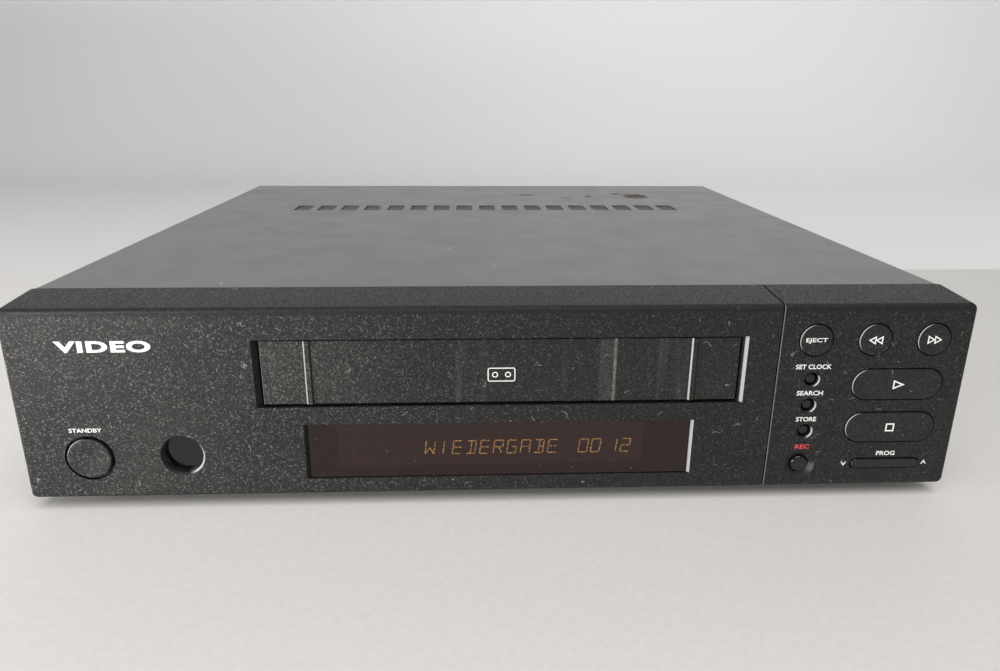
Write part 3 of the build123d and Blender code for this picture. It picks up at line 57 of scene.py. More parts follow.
# Colours that lie on top of a finish.
DUST = (0.5, 0.485, 0.45, 1)
CRUMB = (0.75, 0.74, 0.7, 1)
PALE_TIP = (0.15, 0.146, 0.139, 1)
# Painted sheen at the left of the front.
SHEEN_HAZE = (0.085, 0.075, 0.063, 1)
# Tint of wipe marks, which also carries the painted sheen at the flap's left end.
WIPE_AND_SHEEN_TINT = (0.2, 0.195, 0.18, 1)
# Painted shade: near black in slanting edges and in the line under the crease.
PAINTED_EDGE_SHADE = (0.002, 0.002, 0.002, 1)
# Painted highlight: pale colour on chamfers that look towards the lamps at the left.
PAINTED_EDGE_HIGHLIGHT = (0.42, 0.415, 0.4, 1)

# Rubbed upright lines on the flap: place across, width, strength (millimetres).
FLAP_LINES = ((48.4, 0.9, 1.0), (44.6, 3.6, 0.2))

# Spots on the cover: place across and back, reach both ways (millimetres), colour, strength.
COVER_SPOTS = (
    (121, 114, 11, 13, (0.06, 0.034, 0.026, 1), 0.85),
    (108, 126, 6, 5, (0.045, 0.045, 0.042, 1), 0.6),
    (82.5, 112, 3, 5, (0.03, 0.03, 0.03, 1), 0.7),
    (64, 104, 5, 3, (0.045, 0.045, 0.042, 1), 0.45),
    (33, 120, 8, 4, (0.04, 0.04, 0.038, 1), 0.6),
)


def middle(node):
    """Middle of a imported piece."""
    low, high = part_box(node)
    return (low + high) / 2


# ---------------------------------------------------------------- finishes
class Finish:
    """One material, with short calls that add its pattern nodes."""

    def __init__(self, name, colour, roughness, **sockets):
        self.material = bpy.data.materials.new(name)
        self.material.use_nodes = True
        self.tree = self.material.node_tree
        self.skin = self.tree.nodes["Principled BSDF"]
        self.colour = (*colour, 1.0)
        self.skin.inputs["Base Color"].default_value = self.colour
        self.skin.inputs["Roughness"].default_value = roughness
        for key, value in sockets.items():
            self.skin.inputs[key.replace("_", " ")].default_value = value
        self.place = self.node("ShaderNodeTexCoord").outputs["Object"]

    def node(self, kind, inputs=(), **settings):
        """New node; its inputs are values or other nodes' outputs."""
        made = self.tree.nodes.new(kind)
        for key, value in settings.items():
            setattr(made, key, value)
        for key, value in dict(inputs).items():
            if isinstance(value, bpy.types.NodeSocket):
                self.tree.links.new(value, made.inputs[key])
            else:
                made.inputs[key].default_value = value
        return made

    def link(self, value, socket):
        """Drive one of the surface's own inputs."""
        self.tree.links.new(value, self.skin.inputs[socket])

    # numbers
    def calc(self, operation, first, second=0.0):
        made = self.node("ShaderNodeMath", {0: first, 1: second}, operation=operation)
        return made.outputs[0]

    def times(self, first, *others):
        """Product of all the values."""
        for other in others:
            first = self.calc("MULTIPLY", first, other)
        return first

    def most(self, first, *others):
        """Largest of all the values."""
        for other in others:
            first = self.calc("MAXIMUM", first, other)
        return first

    def rise(self, value, start, end, low=0.0, high=1.0):
        """Smooth step from low to high as value goes from start to end."""
        made = self.node("ShaderNodeMapRange", {0: value, 1: start, 2: end, 3: low, 4: high},
                         interpolation_type="SMOOTHSTEP")
        return made.outputs[0]

    def mix(self, share, first, second):
        """Colour that goes from first to second as share goes from 0 to 1."""
        made = self.node("ShaderNodeMix", {0: share, 6: first, 7: second}, data_type="RGBA")
        return made.outputs[2]

    # places
    def vector(self, operation, first, second):
        made = self.node("ShaderNodeVectorMath", {0: first, 1: second}, operation=operation)
        return made.outputs[0]

    def scaled(self, x=1.0, y=1.0, z=1.0, shift=(0, 0, 0)):
        """The place on the object, moved and then stretched."""
        return self.vector("MULTIPLY", self.vector("SUBTRACT", self.place, shift), (x, y, z))

    def laid_flat(self):
        """The place with its upright axis laid flat, for patterns on an upright face."""
        return self.node("ShaderNodeMapping", {0: self.place,
                         "Rotation": (-math.pi / 2, 0, 0)}).outputs[0]

    def along(self, axis):
        """Coordinate along one axis of the object."""
        return self.node("ShaderNodeSeparateXYZ", {0: self.place}).outputs[axis]

    def away_from(self, axis, value):
        """Distance from a plane across one axis."""
        return self.calc("ABSOLUTE", self.calc("SUBTRACT", self.along(axis), value))

    def facing(self, axis):
        """One component of the surface's own direction."""
        made = self.node("ShaderNodeNewGeometry").outputs["Normal"]
        return self.node("ShaderNodeSeparateXYZ", {0: made}).outputs[axis]

    def edge_share(self):
        """1 on chamfers and rounded edges, which slant, and 0 on flat faces."""
        largest = self.most(*(self.calc("ABSOLUTE", self.facing(axis)) for axis in range(3)))
        return self.rise(largest, 0.8, 0.97, 1.0, 0.0)

    # patterns
    def noise(self, size, detail=2.0, place=None, rough=0.5):
        """Soft cloudy pattern; size is its grain in metres."""
        made = self.node("ShaderNodeTexNoise", {"Vector": place or self.place,
                         "Scale": 1 / size, "Detail": detail, "Roughness": rough})
        return made.outputs["Fac"]

    def cells(self, size, place=None, **settings):
        """Uneven cells; size is their spacing in metres."""
        return self.node("ShaderNodeTexVoronoi", {"Vector": place or self.place,
                         "Scale": 1 / size}, **settings)

    def draw_per_cell(self, cells, channel):
        """One number between 0 and 1 for each cell."""
        return self.node("ShaderNodeSeparateColor", {0: cells.outputs["Color"]}).outputs[channel]

    def specks(self, spacing, share, size):
        """Round flecks: share of the cells hold one, up to size of a cell wide."""
        cells = self.cells(spacing)
        reach = self.rise(self.draw_per_cell(cells, 0), 1 - share, 1.0, 0.0, size)
        gap = self.calc("SUBTRACT", reach, cells.outputs["Distance"])
        return self.rise(gap, 0.0, size * 0.3)

    def bump(self, height, depth, strength=1.0, under=None):
        """Fine relief in the surface; returns it, so that another can lie on top."""
        inputs = {"Height": height, "Distance": depth, "Strength": strength}
        if under is not None:
            inputs["Normal"] = under
        made = self.node("ShaderNodeBump", inputs).outputs["Normal"]
        self.link(made, "Normal")
        return made


def fibres(finish):
    """Short bent fibres: walls of large warped cells, of which only short lengths show."""
    warp = finish.node("ShaderNodeTexNoise", {"Vector": finish.place, "Scale": 240.0})
    bend = finish.vector("MULTIPLY", warp.outputs["Color"], (4 * mm,) * 3)
    walls = finish.cells(17 * mm, finish.vector("ADD", finish.place, bend),
                         feature="DISTANCE_TO_EDGE").outputs["Distance"]
    walls = finish.rise(walls, 0.004, 0.009, 1.0, 0.0)
    return finish.times(walls, finish.rise(finish.noise(3.6 * mm, 0.0), 0.7, 0.74))


def dusted(finish, colour, amount=1.0):
    """Pale dust: fine specks everywhere, more in patches, and a few short fibres."""
    patch = finish.rise(finish.noise(38 * mm, 2.0), 0.45, 0.62, 0.12, 1.0)
    fine = finish.times(finish.specks(1.5 * mm, 0.12 * amount, 0.17), patch)
    coarse = finish.specks(5.0 * mm, 0.12 * amount, 0.07)
    mask = finish.most(fine, coarse, finish.times(fibres(finish), 0.38))
    return finish.mix(finish.times(mask, 0.7), colour, DUST)


def wipes_and_sheen(finish, mottle, pips):
    """Upright wipe marks, rub lines, and a painted sheen that makes the left end paler."""
    tall = finish.scaled(1.0, 1.0, 0.06)
    film = finish.times(finish.rise(finish.noise(5 * mm, 4.0, tall), 0.5, 0.75),
                        finish.rise(finish.noise(30 * mm, 1.0, tall), 0.45, 0.65), 0.22)
    broken = finish.rise(mottle, 0.4, 0.6, 0.4, 1.0)
    for x, wide, strength in FLAP_LINES:
        line = finish.rise(finish.away_from(0, x * mm), wide * 0.5 * mm, wide * mm, strength, 0.0)
        film = finish.most(film, finish.times(line, broken))
    # Painted sheen: paler grain at the left end of the flap, where the lamps at the left light it.
    flap_left_sheen = finish.rise(finish.along(0), -100 * mm, -30 * mm, 0.3, 0.0)
    return finish.calc("ADD", film, finish.times(flap_left_sheen, pips))


def edge_highlight_share(finish, strength):
    """Painted highlight on the outermost chamfers that look to the left, towards the lamps there;
    less at the seam.
    """
    left = finish.calc("ADD", finish.times(finish.facing(0), -0.9),
                       finish.times(finish.facing(2), 0.3))
    left = finish.rise(left, 0.33, 0.58, 0.0, strength)
    forward = finish.rise(finish.facing(1), -0.4, -0.2, 1.0, 0.0)
    outermost = finish.rise(finish.along(1), FACE_Y + 0.9 * mm, FACE_Y + 1.3 * mm, 1.0, 0.0)
    off_seam = finish.rise(finish.away_from(0, SEAM_X), 0.6 * mm, 1.0 * mm, 0.35, 1.0)
    return finish.times(left, forward, outermost, off_seam)


def edge_shade_share(finish, slant):
    """Painted shade in slanting edges and in the line under the crease at the top of the front."""
    brow = finish.rise(finish.along(2), CREASE_Z - 3.6 * mm, CREASE_Z - 2.2 * mm)
    brow = finish.times(brow, finish.rise(finish.facing(2), 0.8, 0.9, 0.8, 0.0))
    return finish.most(slant, brow)


def grained_black(name, dust, base, roughness=0.52, grain=0.75, depth=0.05, streaks_and_sheen=0.0,
                  edge_highlight=0.85):
    """Black moulded plastic: spark grain with pale grain tops, painted shade in its edges, painted
    highlights on the chamfers that look to the left, and house dust.

    The left of the front is painted paler, as painted sheen from the lamps at the left: more pale
    grain tops there, and a brownish hazy layer.
    grain and depth are in millimetres.
    """
    finish = Finish(name, base, roughness, Specular_IOR_Level=0.42)
    mottle = finish.noise(grain * mm, 1.0)
    pips = finish.draw_per_cell(finish.cells(grain * 0.8 * mm), 1)
    upright = finish.rise(finish.facing(2), 0.5, 0.95, 1.0, 0.3)
    # Painted sheen: more pale grain tops towards the left, where the lamps at the left light the
    # front.
    left_sheen = finish.rise(finish.along(0), FRONT_LEFT, 80 * mm, 1.0, 0.3)
    tips_and_sheen = finish.times(finish.calc("POWER", pips, 7.0), upright, left_sheen)
    colour = finish.mix(tips_and_sheen, finish.colour, PALE_TIP)
    # Painted sheen: a brownish hazy layer at the left of the front.
    left_sheen_haze = finish.times(finish.rise(finish.along(0), FRONT_LEFT, 60 * mm, 1.0, 0.0),
                        finish.rise(finish.noise(60 * mm, 3.0), 0.3, 0.7), upright, 0.12)
    colour = finish.mix(left_sheen_haze, colour, SHEEN_HAZE)
    if streaks_and_sheen:
        # Wipe marks and rub lines, with the painted sheen at the flap's left end.
        film = finish.times(wipes_and_sheen(finish, mottle, pips), streaks_and_sheen)
        colour = finish.mix(film, colour, WIPE_AND_SHEEN_TINT)
    colour = dusted(finish, colour, dust)
    slant = finish.edge_share()
    # Painted shade in the slanting edges and under the crease.
    colour = finish.mix(edge_shade_share(finish, slant), colour, PAINTED_EDGE_SHADE)
    # Painted highlight on the outermost chamfers that look to the left.
    finish.link(finish.mix(edge_highlight_share(finish, edge_highlight), colour, PAINTED_EDGE_HIGHLIGHT), "Base Color")

    sheen = finish.rise(mottle, 0.35, 0.65, roughness + 0.16, roughness - 0.12)
    smoother_top = finish.rise(finish.facing(2), 0.5, 0.95, 0.0, 0.12)
    smoother_top = finish.calc("SUBTRACT", smoother_top, finish.times(slant, 0.2))
    finish.link(finish.calc("SUBTRACT", sheen, smoother_top), "Roughness")
    finish.bump(mottle, depth * mm, 0.7)
    return finish.material


def plain_plastic(name, base, roughness, wear=0.15, grain=0.8):
    """Smooth moulded plastic with slight wear and flow marks; grain is in millimetres."""
    finish = Finish(name, base, roughness)
    light = [c * (1 + wear) + 0.002 for c in base] + [1]
    finish.link(finish.mix(finish.noise(14 * mm, 4.0), finish.colour, light), "Base Color")
    finish.link(finish.rise(finish.noise(3 * mm, 4.0), 0.3, 0.75, roughness * 0.8,
                            min(1.0, roughness * 1.3)), "Roughness")
    finish.bump(finish.noise(grain * mm, 2.0), 0.02 * mm, 0.25)
    return finish.material


def spotted(finish, colour):
    """Ragged dried spots: the new colour, and how soiled each place is."""
    ragged = finish.noise(5 * mm, 4.0)
    soiled = 0.0
    for x, y, reach_x, reach_y, tint, strength in COVER_SPOTS:
        spot = finish.scaled(1 / (reach_x * mm), 1 / (reach_y * mm), 0.0, (x * mm, y * mm, 0.0))
        away = finish.node("ShaderNodeVectorMath", {0: spot}, operation="LENGTH").outputs["Value"]
        away = finish.calc("ADD", away, finish.times(ragged, 1.5))
        spot = finish.rise(away, 1.3, 1.8, strength, 0.0)
        soiled = finish.calc("MAXIMUM", soiled, spot)
        colour = finish.mix(spot, colour, tint)
    return colour, soiled


def painted_sheet():
    """Satin dark grey paint on steel: orange peel, faint scratches, smudges and spots."""
    finish = Finish("satin_cover_paint", (0.104, 0.106, 0.102), 0.33)
    cloud = finish.rise(finish.noise(70 * mm, 3.0), 0.35, 0.7)
    colour = finish.mix(cloud, finish.colour, (0.115, 0.117, 0.11, 1))
    wipe = finish.scaled(0.16, 1.0, 1.0)
    smear = finish.rise(finish.noise(16 * mm, 4.0, wipe), 0.5, 0.8, 0.0, 0.07)
    colour = finish.mix(smear, colour, (0.07, 0.07, 0.067, 1))
    colour, soiled = spotted(finish, colour)

    lines = finish.node("ShaderNodeTexNoise", {"Vector": finish.scaled(1.0, 0.22, 1.0),
                        "Scale": 260.0, "Detail": 3.0, "Distortion": 1.2}).outputs["Fac"]
    lines = finish.calc("ABSOLUTE", finish.calc("SUBTRACT", lines, 0.5))
    scratch = finish.times(finish.rise(lines, 0.0, 0.008, 1.0, 0.0),
                           finish.rise(finish.noise(40 * mm), 0.52, 0.6))
    colour = finish.mix(finish.times(scratch, 0.25), colour, (0.16, 0.16, 0.155, 1))
    crumbs = finish.specks(11 * mm, 0.6, 0.065)
    finish.link(finish.mix(crumbs, dusted(finish, colour, 0.6), CRUMB), "Base Color")

    matt = finish.rise(finish.noise(24 * mm, 4.0), 0.3, 0.75, 0.32, 0.38)
    finish.link(finish.calc("ADD", matt, finish.times(soiled, 0.55)), "Roughness")
    peel = finish.bump(finish.noise(0.9 * mm, 2.0), 0.02 * mm, 0.25)
    finish.bump(scratch, 0.02 * mm, 0.3, peel)
    return finish.material


def metal(name, colour, roughness, lines=None, worn=0.12, dust=0.0, metallic=1.0):
    """Bare or plated metal; lines stretches its rolling marks along an axis."""
    finish = Finish(name, colour, roughness, Metallic=metallic)
    dark = [c * (1 - worn * 2) for c in colour] + [1]
    tone = finish.mix(finish.noise(11 * mm, 5.0), finish.colour, dark)
    if dust:
        tone = dusted(finish, tone, dust)
    finish.link(tone, "Base Color")
    place = finish.scaled(*lines) if lines else finish.place
    marks = finish.noise(1.2 * mm, 4.0, place, 0.7)
    finish.link(finish.rise(marks, 0.25, 0.75, roughness * 0.7, min(1.0, roughness * 1.4)),
                "Roughness")
    finish.bump(marks, 0.01 * mm, 0.3)
    return finish.material


def window_acrylic():
    """Smoked brown acrylic that dims what lies behind it, with dust lying on it.

    Only its outer face is dark; its back and sides are clear.
    """
    finish = Finish("smoked_acrylic", (0.013, 0.0055, 0.0042), 0.12, Specular_IOR_Level=0.42)
    grime = finish.most(finish.specks(2.0 * mm, 0.12, 0.16), finish.specks(6 * mm, 0.2, 0.08))
    sill = finish.rise(finish.along(2), WINDOW_SILL + 3.8 * mm, WINDOW_SILL + 5.8 * mm, 1.0, 0.0)
    grime = finish.times(grime, finish.calc("ADD", 0.55, sill))
    outer = finish.rise(finish.along(1), FACE_Y + 1.0 * mm, FACE_Y + 2.0 * mm, 1.0, 0.0)
    dim = finish.calc("ADD", 0.93, finish.times(grime, 0.07))
    finish.link(finish.times(dim, outer), "Alpha")
    finish.link(finish.mix(grime, finish.colour, (0.3, 0.28, 0.25, 1)), "Base Color")
    finish.link(finish.rise(finish.noise(15 * mm, 3.0), 0.3, 0.75, 0.1, 0.18), "Roughness")
    return finish.material


def printed(name, colour, wear=0.12):
    """Screen-printed ink, slightly broken where the grain shows through."""
    finish = Finish(name, colour, 0.55)
    thin = finish.rise(finish.noise(0.35 * mm, 2.0), 0.62, 0.8, 0.0, wear)
    finish.link(finish.mix(thin, finish.colour, (0.05, 0.05, 0.05, 1)), "Base Color")
    finish.link(finish.rise(finish.noise(0.8 * mm), 0.3, 0.7, 0.48, 0.62), "Roughness")
    return finish.material


def lit_amber():
    """Lit display characters, a little uneven from one to the next."""
    finish = Finish("lit_amber", (0.3, 0.12, 0.02), 0.5,
                    Emission_Color=(1.0, 0.52, 0.18, 1), Emission_Strength=1.0)
    glow = finish.rise(finish.noise(0.5 * mm, 1.0), 0.36, 0.62, 1.2, 6.4)
    finish.link(glow, "Emission Strength")
    finish.material.cycles.emission_sampling = "NONE"
    return finish.material


def display_glass():
    """Dark tube face with the faint rows of its unlit cells; only its front glows."""
    finish = Finish("display_glass", (0.045, 0.024, 0.02), 0.3, Emission_Strength=2.0,
                    Specular_IOR_Level=0.2)
    finish.material.cycles.emission_sampling = "NONE"
    cells = finish.node("ShaderNodeTexBrick", {
        "Vector": finish.laid_flat(), "Scale": 1.0, "Brick Width": 6 * mm,
        "Row Height": 7.3 * mm, "Mortar Size": 0.9 * mm, "Mortar Smooth": 0.3,
        "Color1": (1, 1, 1, 1), "Color2": (0.6, 0.6, 0.6, 1), "Mortar": (0, 0, 0, 1)},
        offset=0.0).outputs["Color"]
    colour = finish.mix(cells, finish.colour, (0.085, 0.035, 0.03, 1))
    finish.link(colour, "Base Color")
    front = finish.rise(finish.along(1), TUBE_LOW.y + 0.1 * mm, TUBE_LOW.y + 0.4 * mm, 1.0, 0.0)
    finish.link(finish.mix(front, (0, 0, 0, 1), colour), "Emission Color")
    finish.link(finish.rise(finish.noise(6 * mm), 0.3, 0.7, 0.25, 0.4), "Roughness")
    return finish.material


def laminate_board():
    """Brown paper laminate with a faint print of tracks."""
    finish = Finish("brown_laminate", (0.2, 0.115, 0.045), 0.5)
    fibre = finish.noise(1.4 * mm, 4.0, finish.scaled(1.0, 0.3, 1.0))
    colour = finish.mix(fibre, finish.colour, (0.27, 0.165, 0.075, 1))
    track = finish.node("ShaderNodeTexBrick", {
        "Vector": finish.scaled(1 / (9 * mm), 1 / (9 * mm), 1 / (9 * mm)), "Scale": 1.0,
        "Mortar Size": 0.06, "Color1": (0, 0, 0, 1), "Color2": (0, 0, 0, 1),
        "Mortar": (1, 1, 1, 1)}).outputs["Fac"]
    finish.link(finish.mix(finish.times(track, 0.5), colour, (0.1, 0.07, 0.03, 1)), "Base Color")
    finish.bump(fibre, 0.02 * mm, 0.3)
    return finish.material


def iron_stack():
    """Varnished transformer plates, seen as fine edge lines."""
    finish = Finish("varnished_iron", (0.05, 0.045, 0.045), 0.42, Metallic=0.6)
    layer = finish.node("ShaderNodeTexWave", {"Vector": finish.place, "Scale": 300.0,
                        "Distortion": 0.4}, bands_direction="Y").outputs["Fac"]
    colour = finish.mix(finish.rise(layer, 0.2, 0.8), finish.colour, (0.12, 0.1, 0.09, 1))
    finish.link(colour, "Base Color")
    finish.bump(layer, 0.12 * mm, 0.5)
    return finish.material


def striped(name, colour, line_colour, pitch, axis, roughness=0.5):
    """Flat lead or sleeve with lines at a set pitch along one axis."""
    finish = Finish(name, colour, roughness)
    waves_per_metre = math.pi / 10 / pitch  # a wave node at scale 1 repeats every pi / 10
    wave = finish.node("ShaderNodeTexWave", {"Vector": finish.place,
                       "Scale": waves_per_metre}, bands_direction=axis).outputs["Fac"]
    line = finish.rise(wave, 0.75, 0.95)
    finish.link(finish.mix(line, finish.colour, (*line_colour, 1)), "Base Color")
    finish.bump(wave, 0.15 * mm, 0.5)
    return finish.material


def fine_gauze():
    """Fine dark gauze with some lint in it."""
    finish = Finish("fine_gauze", (0.055, 0.056, 0.055), 0.7)
    weave = finish.node("ShaderNodeTexBrick", {
        "Vector": finish.scaled(1 / (1.2 * mm), 1 / (1.2 * mm), 1.0), "Scale": 1.0,
        "Brick Width": 0.5, "Row Height": 0.5, "Mortar Size": 0.12, "Color1": (0, 0, 0, 1),
        "Color2": (0, 0, 0, 1), "Mortar": (1, 1, 1, 1)}, offset=0.0).outputs["Fac"]
    colour = finish.mix(weave, finish.colour, (0.1, 0.1, 0.098, 1))
    lint = finish.rise(finish.noise(5 * mm, 3.0), 0.45, 0.7)
    finish.link(finish.mix(finish.times(lint, 0.4), colour, (0.13, 0.127, 0.12, 1)), "Base Color")
    finish.bump(weave, 0.1 * mm, 0.5)
    return finish.material


def table_and_wall():
    """Pale table in front, and behind it a wall with painted light: lighter to the right and at the
    top on the left.
    """
    finish = Finish("pale_table", (0.65, 0.625, 0.59), 0.5)
    table = finish.mix(finish.rise(finish.noise(3 * mm, 3.0), 0.3, 0.7), finish.colour,
                       (0.68, 0.655, 0.62, 1))
    # Painted light: the wall is lighter to the right.
    lit_to_right = finish.rise(finish.along(0), -0.6, 1.1)
    wall = finish.mix(lit_to_right, (0.64, 0.65, 0.645, 1), (0.9, 0.91, 0.89, 1))
    # Painted light: a lighter patch high on the left of the wall, which the cover reflects.
    lit_upper_left = finish.times(finish.rise(finish.along(2), 0.3, 0.6),
                              finish.rise(finish.along(0), -1.4, 0.0, 1.0, 0.0))
    wall = finish.mix(lit_upper_left, wall, (0.95, 0.95, 0.94, 1))
    behind = finish.rise(finish.along(1), 0.226, 0.236)
    finish.link(finish.mix(behind, table, wall), "Base Color")
    return finish.material


front_black = grained_black("grained_black", 0.8, (0.0035, 0.0035, 0.0038), 0.55, depth=0.07)
flap_black = grained_black("flap_black", 0.8, (0.006, 0.006, 0.0058), 0.34, 0.7, 0.05, 0.7)
button_black = grained_black("button_black", 0.5, (0.005, 0.005, 0.0052), 0.45, 0.65, 0.03)
gloss_black = plain_plastic("gloss_black", (0.004, 0.004, 0.0042), 0.2, 0.1, 1.5)
cover_paint = painted_sheet()
rear_paint = metal("rear_paint", (0.03, 0.03, 0.031), 0.5, metallic=0.0, dust=0.3)
zinc_sheet = metal("zinc_sheet", (0.55, 0.56, 0.55), 0.34, (1.0, 0.15, 1.0))
deck_sheet = metal("plated_deck", (0.6, 0.59, 0.54), 0.3, (0.2, 1.0, 1.0))
tinned = metal("tinned_sheet", (0.62, 0.62, 0.6), 0.28, (1.0, 1.0, 0.2))
black_screw = metal("blackened_steel", (0.09, 0.09, 0.09), 0.38, worn=0.2)
bright_steel = metal("polished_steel", (0.72, 0.72, 0.73), 0.12)
bare_aluminium = metal("turned_aluminium", (0.78, 0.78, 0.8), 0.2, (1.0, 1.0, 3.0))
brass = metal("plated_contacts", (0.75, 0.62, 0.36), 0.25)
black_frame = plain_plastic("moulded_frame", (0.03, 0.03, 0.03), 0.5)
part_black = plain_plastic("part_black", (0.022, 0.022, 0.024), 0.45)
white_plastic = plain_plastic("acetal_white", (0.68, 0.67, 0.63), 0.4, 0.05)
foot_rubber = plain_plastic("foot_rubber", (0.022, 0.022, 0.022), 0.8, 0.3, 0.5)
ground_rubber = plain_plastic("ground_rubber", (0.018, 0.018, 0.018), 0.65, 0.2, 0.3)
sleeve = striped("printed_sleeve", (0.012, 0.02, 0.06), (0.3, 0.32, 0.36), 22 * mm, "X", 0.3)
ribbon = striped("ribbon_grey", (0.42, 0.42, 0.42), (0.25, 0.25, 0.25), 1.25 * mm, "X", 0.45)
board = laminate_board()
iron = iron_stack()
gauze = fine_gauze()
acrylic = window_acrylic()
ir_red = plain_plastic("infrared_filter", (0.003, 0.0015, 0.0015), 0.12, 0.1, 2.0)
tube_glass = display_glass()
white_ink = printed("white_ink", (0.82, 0.82, 0.8))
red_ink = printed("red_ink", (0.62, 0.06, 0.06))
amber = lit_amber()


def dress(finish, *names):
    """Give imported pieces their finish."""
    for name in names:
        for place in nodes[name].material_slots:
            place.material = finish


dress(front_black, "front_panel", "control_panel")
dress(flap_black, "cassette_flap")
dress(button_black, "standby_button", "eject_button", "rewind_button", "fast_forward_button",
      "play_button", "stop_button")
dress(gloss_black, "set_clock_button", "search_button", "store_button", "record_button",
      "program_rocker")
dress(cover_paint, "top_cover")
dress(rear_paint, "rear_panel")
dress(zinc_sheet, "bottom_plate")
dress(black_frame, "chassis_frame")
dress(foot_rubber, "feet")
dress(acrylic, "display_window")
dress(ir_red, "ir_window")
dress(tube_glass, "display_tube")
dress(board, "main_board", "power_board", "display_board", "operation_board")
dress(part_black, "main_board_parts", "tact_switches", "ir_receiver", "scart_sockets",
      "mains_inlet", "heat_sink", "loading_motor")
dress(sleeve, "smoothing_capacitors")
dress(iron, "power_transformer")
dress(tinned, "tuner_module", "capstan_motor")
dress(deck_sheet, "deck_chassis", "side_rails", "basket_carriage", "cassette_basket",
      "pinch_arm", "tension_arm")
dress(bare_aluminium, "drum_lower", "drum_upper")
dress(bright_steel, "capstan_flywheel", "flap_spring", "supply_guide", "takeup_guide",
      "erase_head", "audio_head")
dress(ground_rubber, "pinch_roller")
dress(white_plastic, "supply_reel", "takeup_reel", "loading_gear", "loading_pinion")
dress(ribbon, "ribbon_leads")


# ---------------------------------------------------------------- meshes and pieces
def mesh_from(build, name):
    """Plain mesh of a finished build, with its faces turned outwards."""
    bmesh.ops.recalc_face_normals(build, faces=build.faces)
    mesh = bpy.data.meshes.new(name)
    build.to_mesh(mesh)
    build.free()
    return mesh


def join_loops(build, one, two):
    """Band of faces between two loops of as many corners."""
    count = len(one)
    for k in range(count):
        build.faces.new((one[k], one[(k + 1) % count], two[(k + 1) % count], two[k]))


def in_scene(name, data):
    """New object in the scene, at the origin."""
    thing = bpy.data.objects.new(name, data)
    bpy.context.scene.collection.objects.link(thing)
    return thing


def evaluated_mesh(thing):
    """Plain mesh of an object with its modifiers applied; the object is removed."""
    bpy.context.view_layer.update()
    seen = thing.evaluated_get(bpy.context.evaluated_depsgraph_get())
    mesh = bpy.data.meshes.new_from_object(seen)
    data = thing.data
    bpy.data.objects.remove(thing)
    if isinstance(data, bpy.types.Curve):
        bpy.data.curves.remove(data)
    return mesh


def add_piece(name, mesh, finish, body, stands_for=()):
    """Put a finished mesh in the scene, riding on a body."""
    mesh.materials.clear()
    mesh.materials.append(finish)
    thing = in_scene(name, mesh)
    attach(thing, body)
    if stands_for:
        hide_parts(*stands_for)


# ---------------------------------------------------------------- words and signs
INK = 0.03 * mm  # thickness of a print
PROUD = 0.4 * INK  # from the printed surface to the middle of the print
FRONT_TURN = Matrix.Rotation(math.pi / 2, 4, "X")
REAR_TURN = Matrix.Rotation(math.pi, 4, "Z") @ FRONT_TURN
KEY_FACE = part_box("eject_button")[0].y
FLAP_FACE = FACE_Y + 1.0 * mm


def lettering(name, words, place, wide, high, finish=white_ink, body="cabinet",
              turn=FRONT_TURN, bold=0.018, spread=1.0):
    """Words printed on an upright face; wide and high are the size of the inked words."""
    curve = bpy.data.curves.new(name, "FONT")
    curve.body = words
    curve.size = 1.0
    curve.offset = bold
    curve.space_character = spread
    curve.resolution_u = 4
    curve.extrude = 0.5
    mesh = evaluated_mesh(in_scene(name, curve))
    xs = [v.co.x for v in mesh.vertices]
    ys = [v.co.y for v in mesh.vertices]
    mesh.transform(Matrix.Translation((-(min(xs) + max(xs)) / 2, -(min(ys) + max(ys)) / 2, 0)))
    mesh.transform(Matrix.Diagonal((wide / (max(xs) - min(xs)), high / (max(ys) - min(ys)),
                                    INK, 1)))
    mesh.transform(Matrix.Translation(place) @ turn)
    add_piece(name, mesh, finish, body)


def stroke_sides(shape, stroke, closed):
    """Both sides of a line of even width through the corners of a shape."""
    sides = []
    for i, corner in enumerate(shape):
        here = Vector(corner)
        into = here - Vector(shape[i - 1] if closed or i else corner)
        out = Vector(shape[(i + 1) % len(shape)] if closed or i < len(shape) - 1 else corner) - here
        into = (into if into.length else out).normalized()
        out = (out if out.length else into).normalized()
        side = Vector((-(into.y + out.y), into.x + out.x)).normalized()
        wide = stroke / 2 / max(0.35, side.dot(Vector((-out.y, out.x))))
        sides.append((here + side * wide, here - side * wide))
    return sides


def line_drawing(name, shapes, place, stroke, body="cabinet", closed=True):
    """Printed line drawing; each shape is a list of (x, z) corners about the middle."""
    build = bmesh.new()
    for shape in shapes:
        rings = []
        for one, two in stroke_sides(shape, stroke, closed):
            corners = ((one, -INK / 2), (one, INK / 2), (two, INK / 2), (two, -INK / 2))
            rings.append([build.verts.new((p.x, y, p.y)) for p, y in corners])
        for one, two in zip(rings, rings[1:] + rings[:1] if closed else rings[1:]):
            join_loops(build, one, two)
        if not closed:
            build.faces.new(rings[0])
            build.faces.new(reversed(rings[-1]))
    mesh = mesh_from(build, name)
    mesh.transform(Matrix.Translation(place))
    add_piece(name, mesh, white_ink, body)


def triangle(x, side, wide, high):
    """Corners of a triangle that points to one side (1 right, -1 left)."""
    back, tip = x - side * wide / 2, x + side * wide / 2
    return [(back, high / 2), (tip, 0), (back, -high / 2)]


def twin_triangles(side):
    """Corners of the winding sign: two triangles in a row."""
    return [triangle(x, side, 2.5 * mm, 3.0 * mm) for x in (-1.45 * mm, 1.45 * mm)]


def square(half):
    return [(-half, half), (half, half), (half, -half), (-half, -half)]


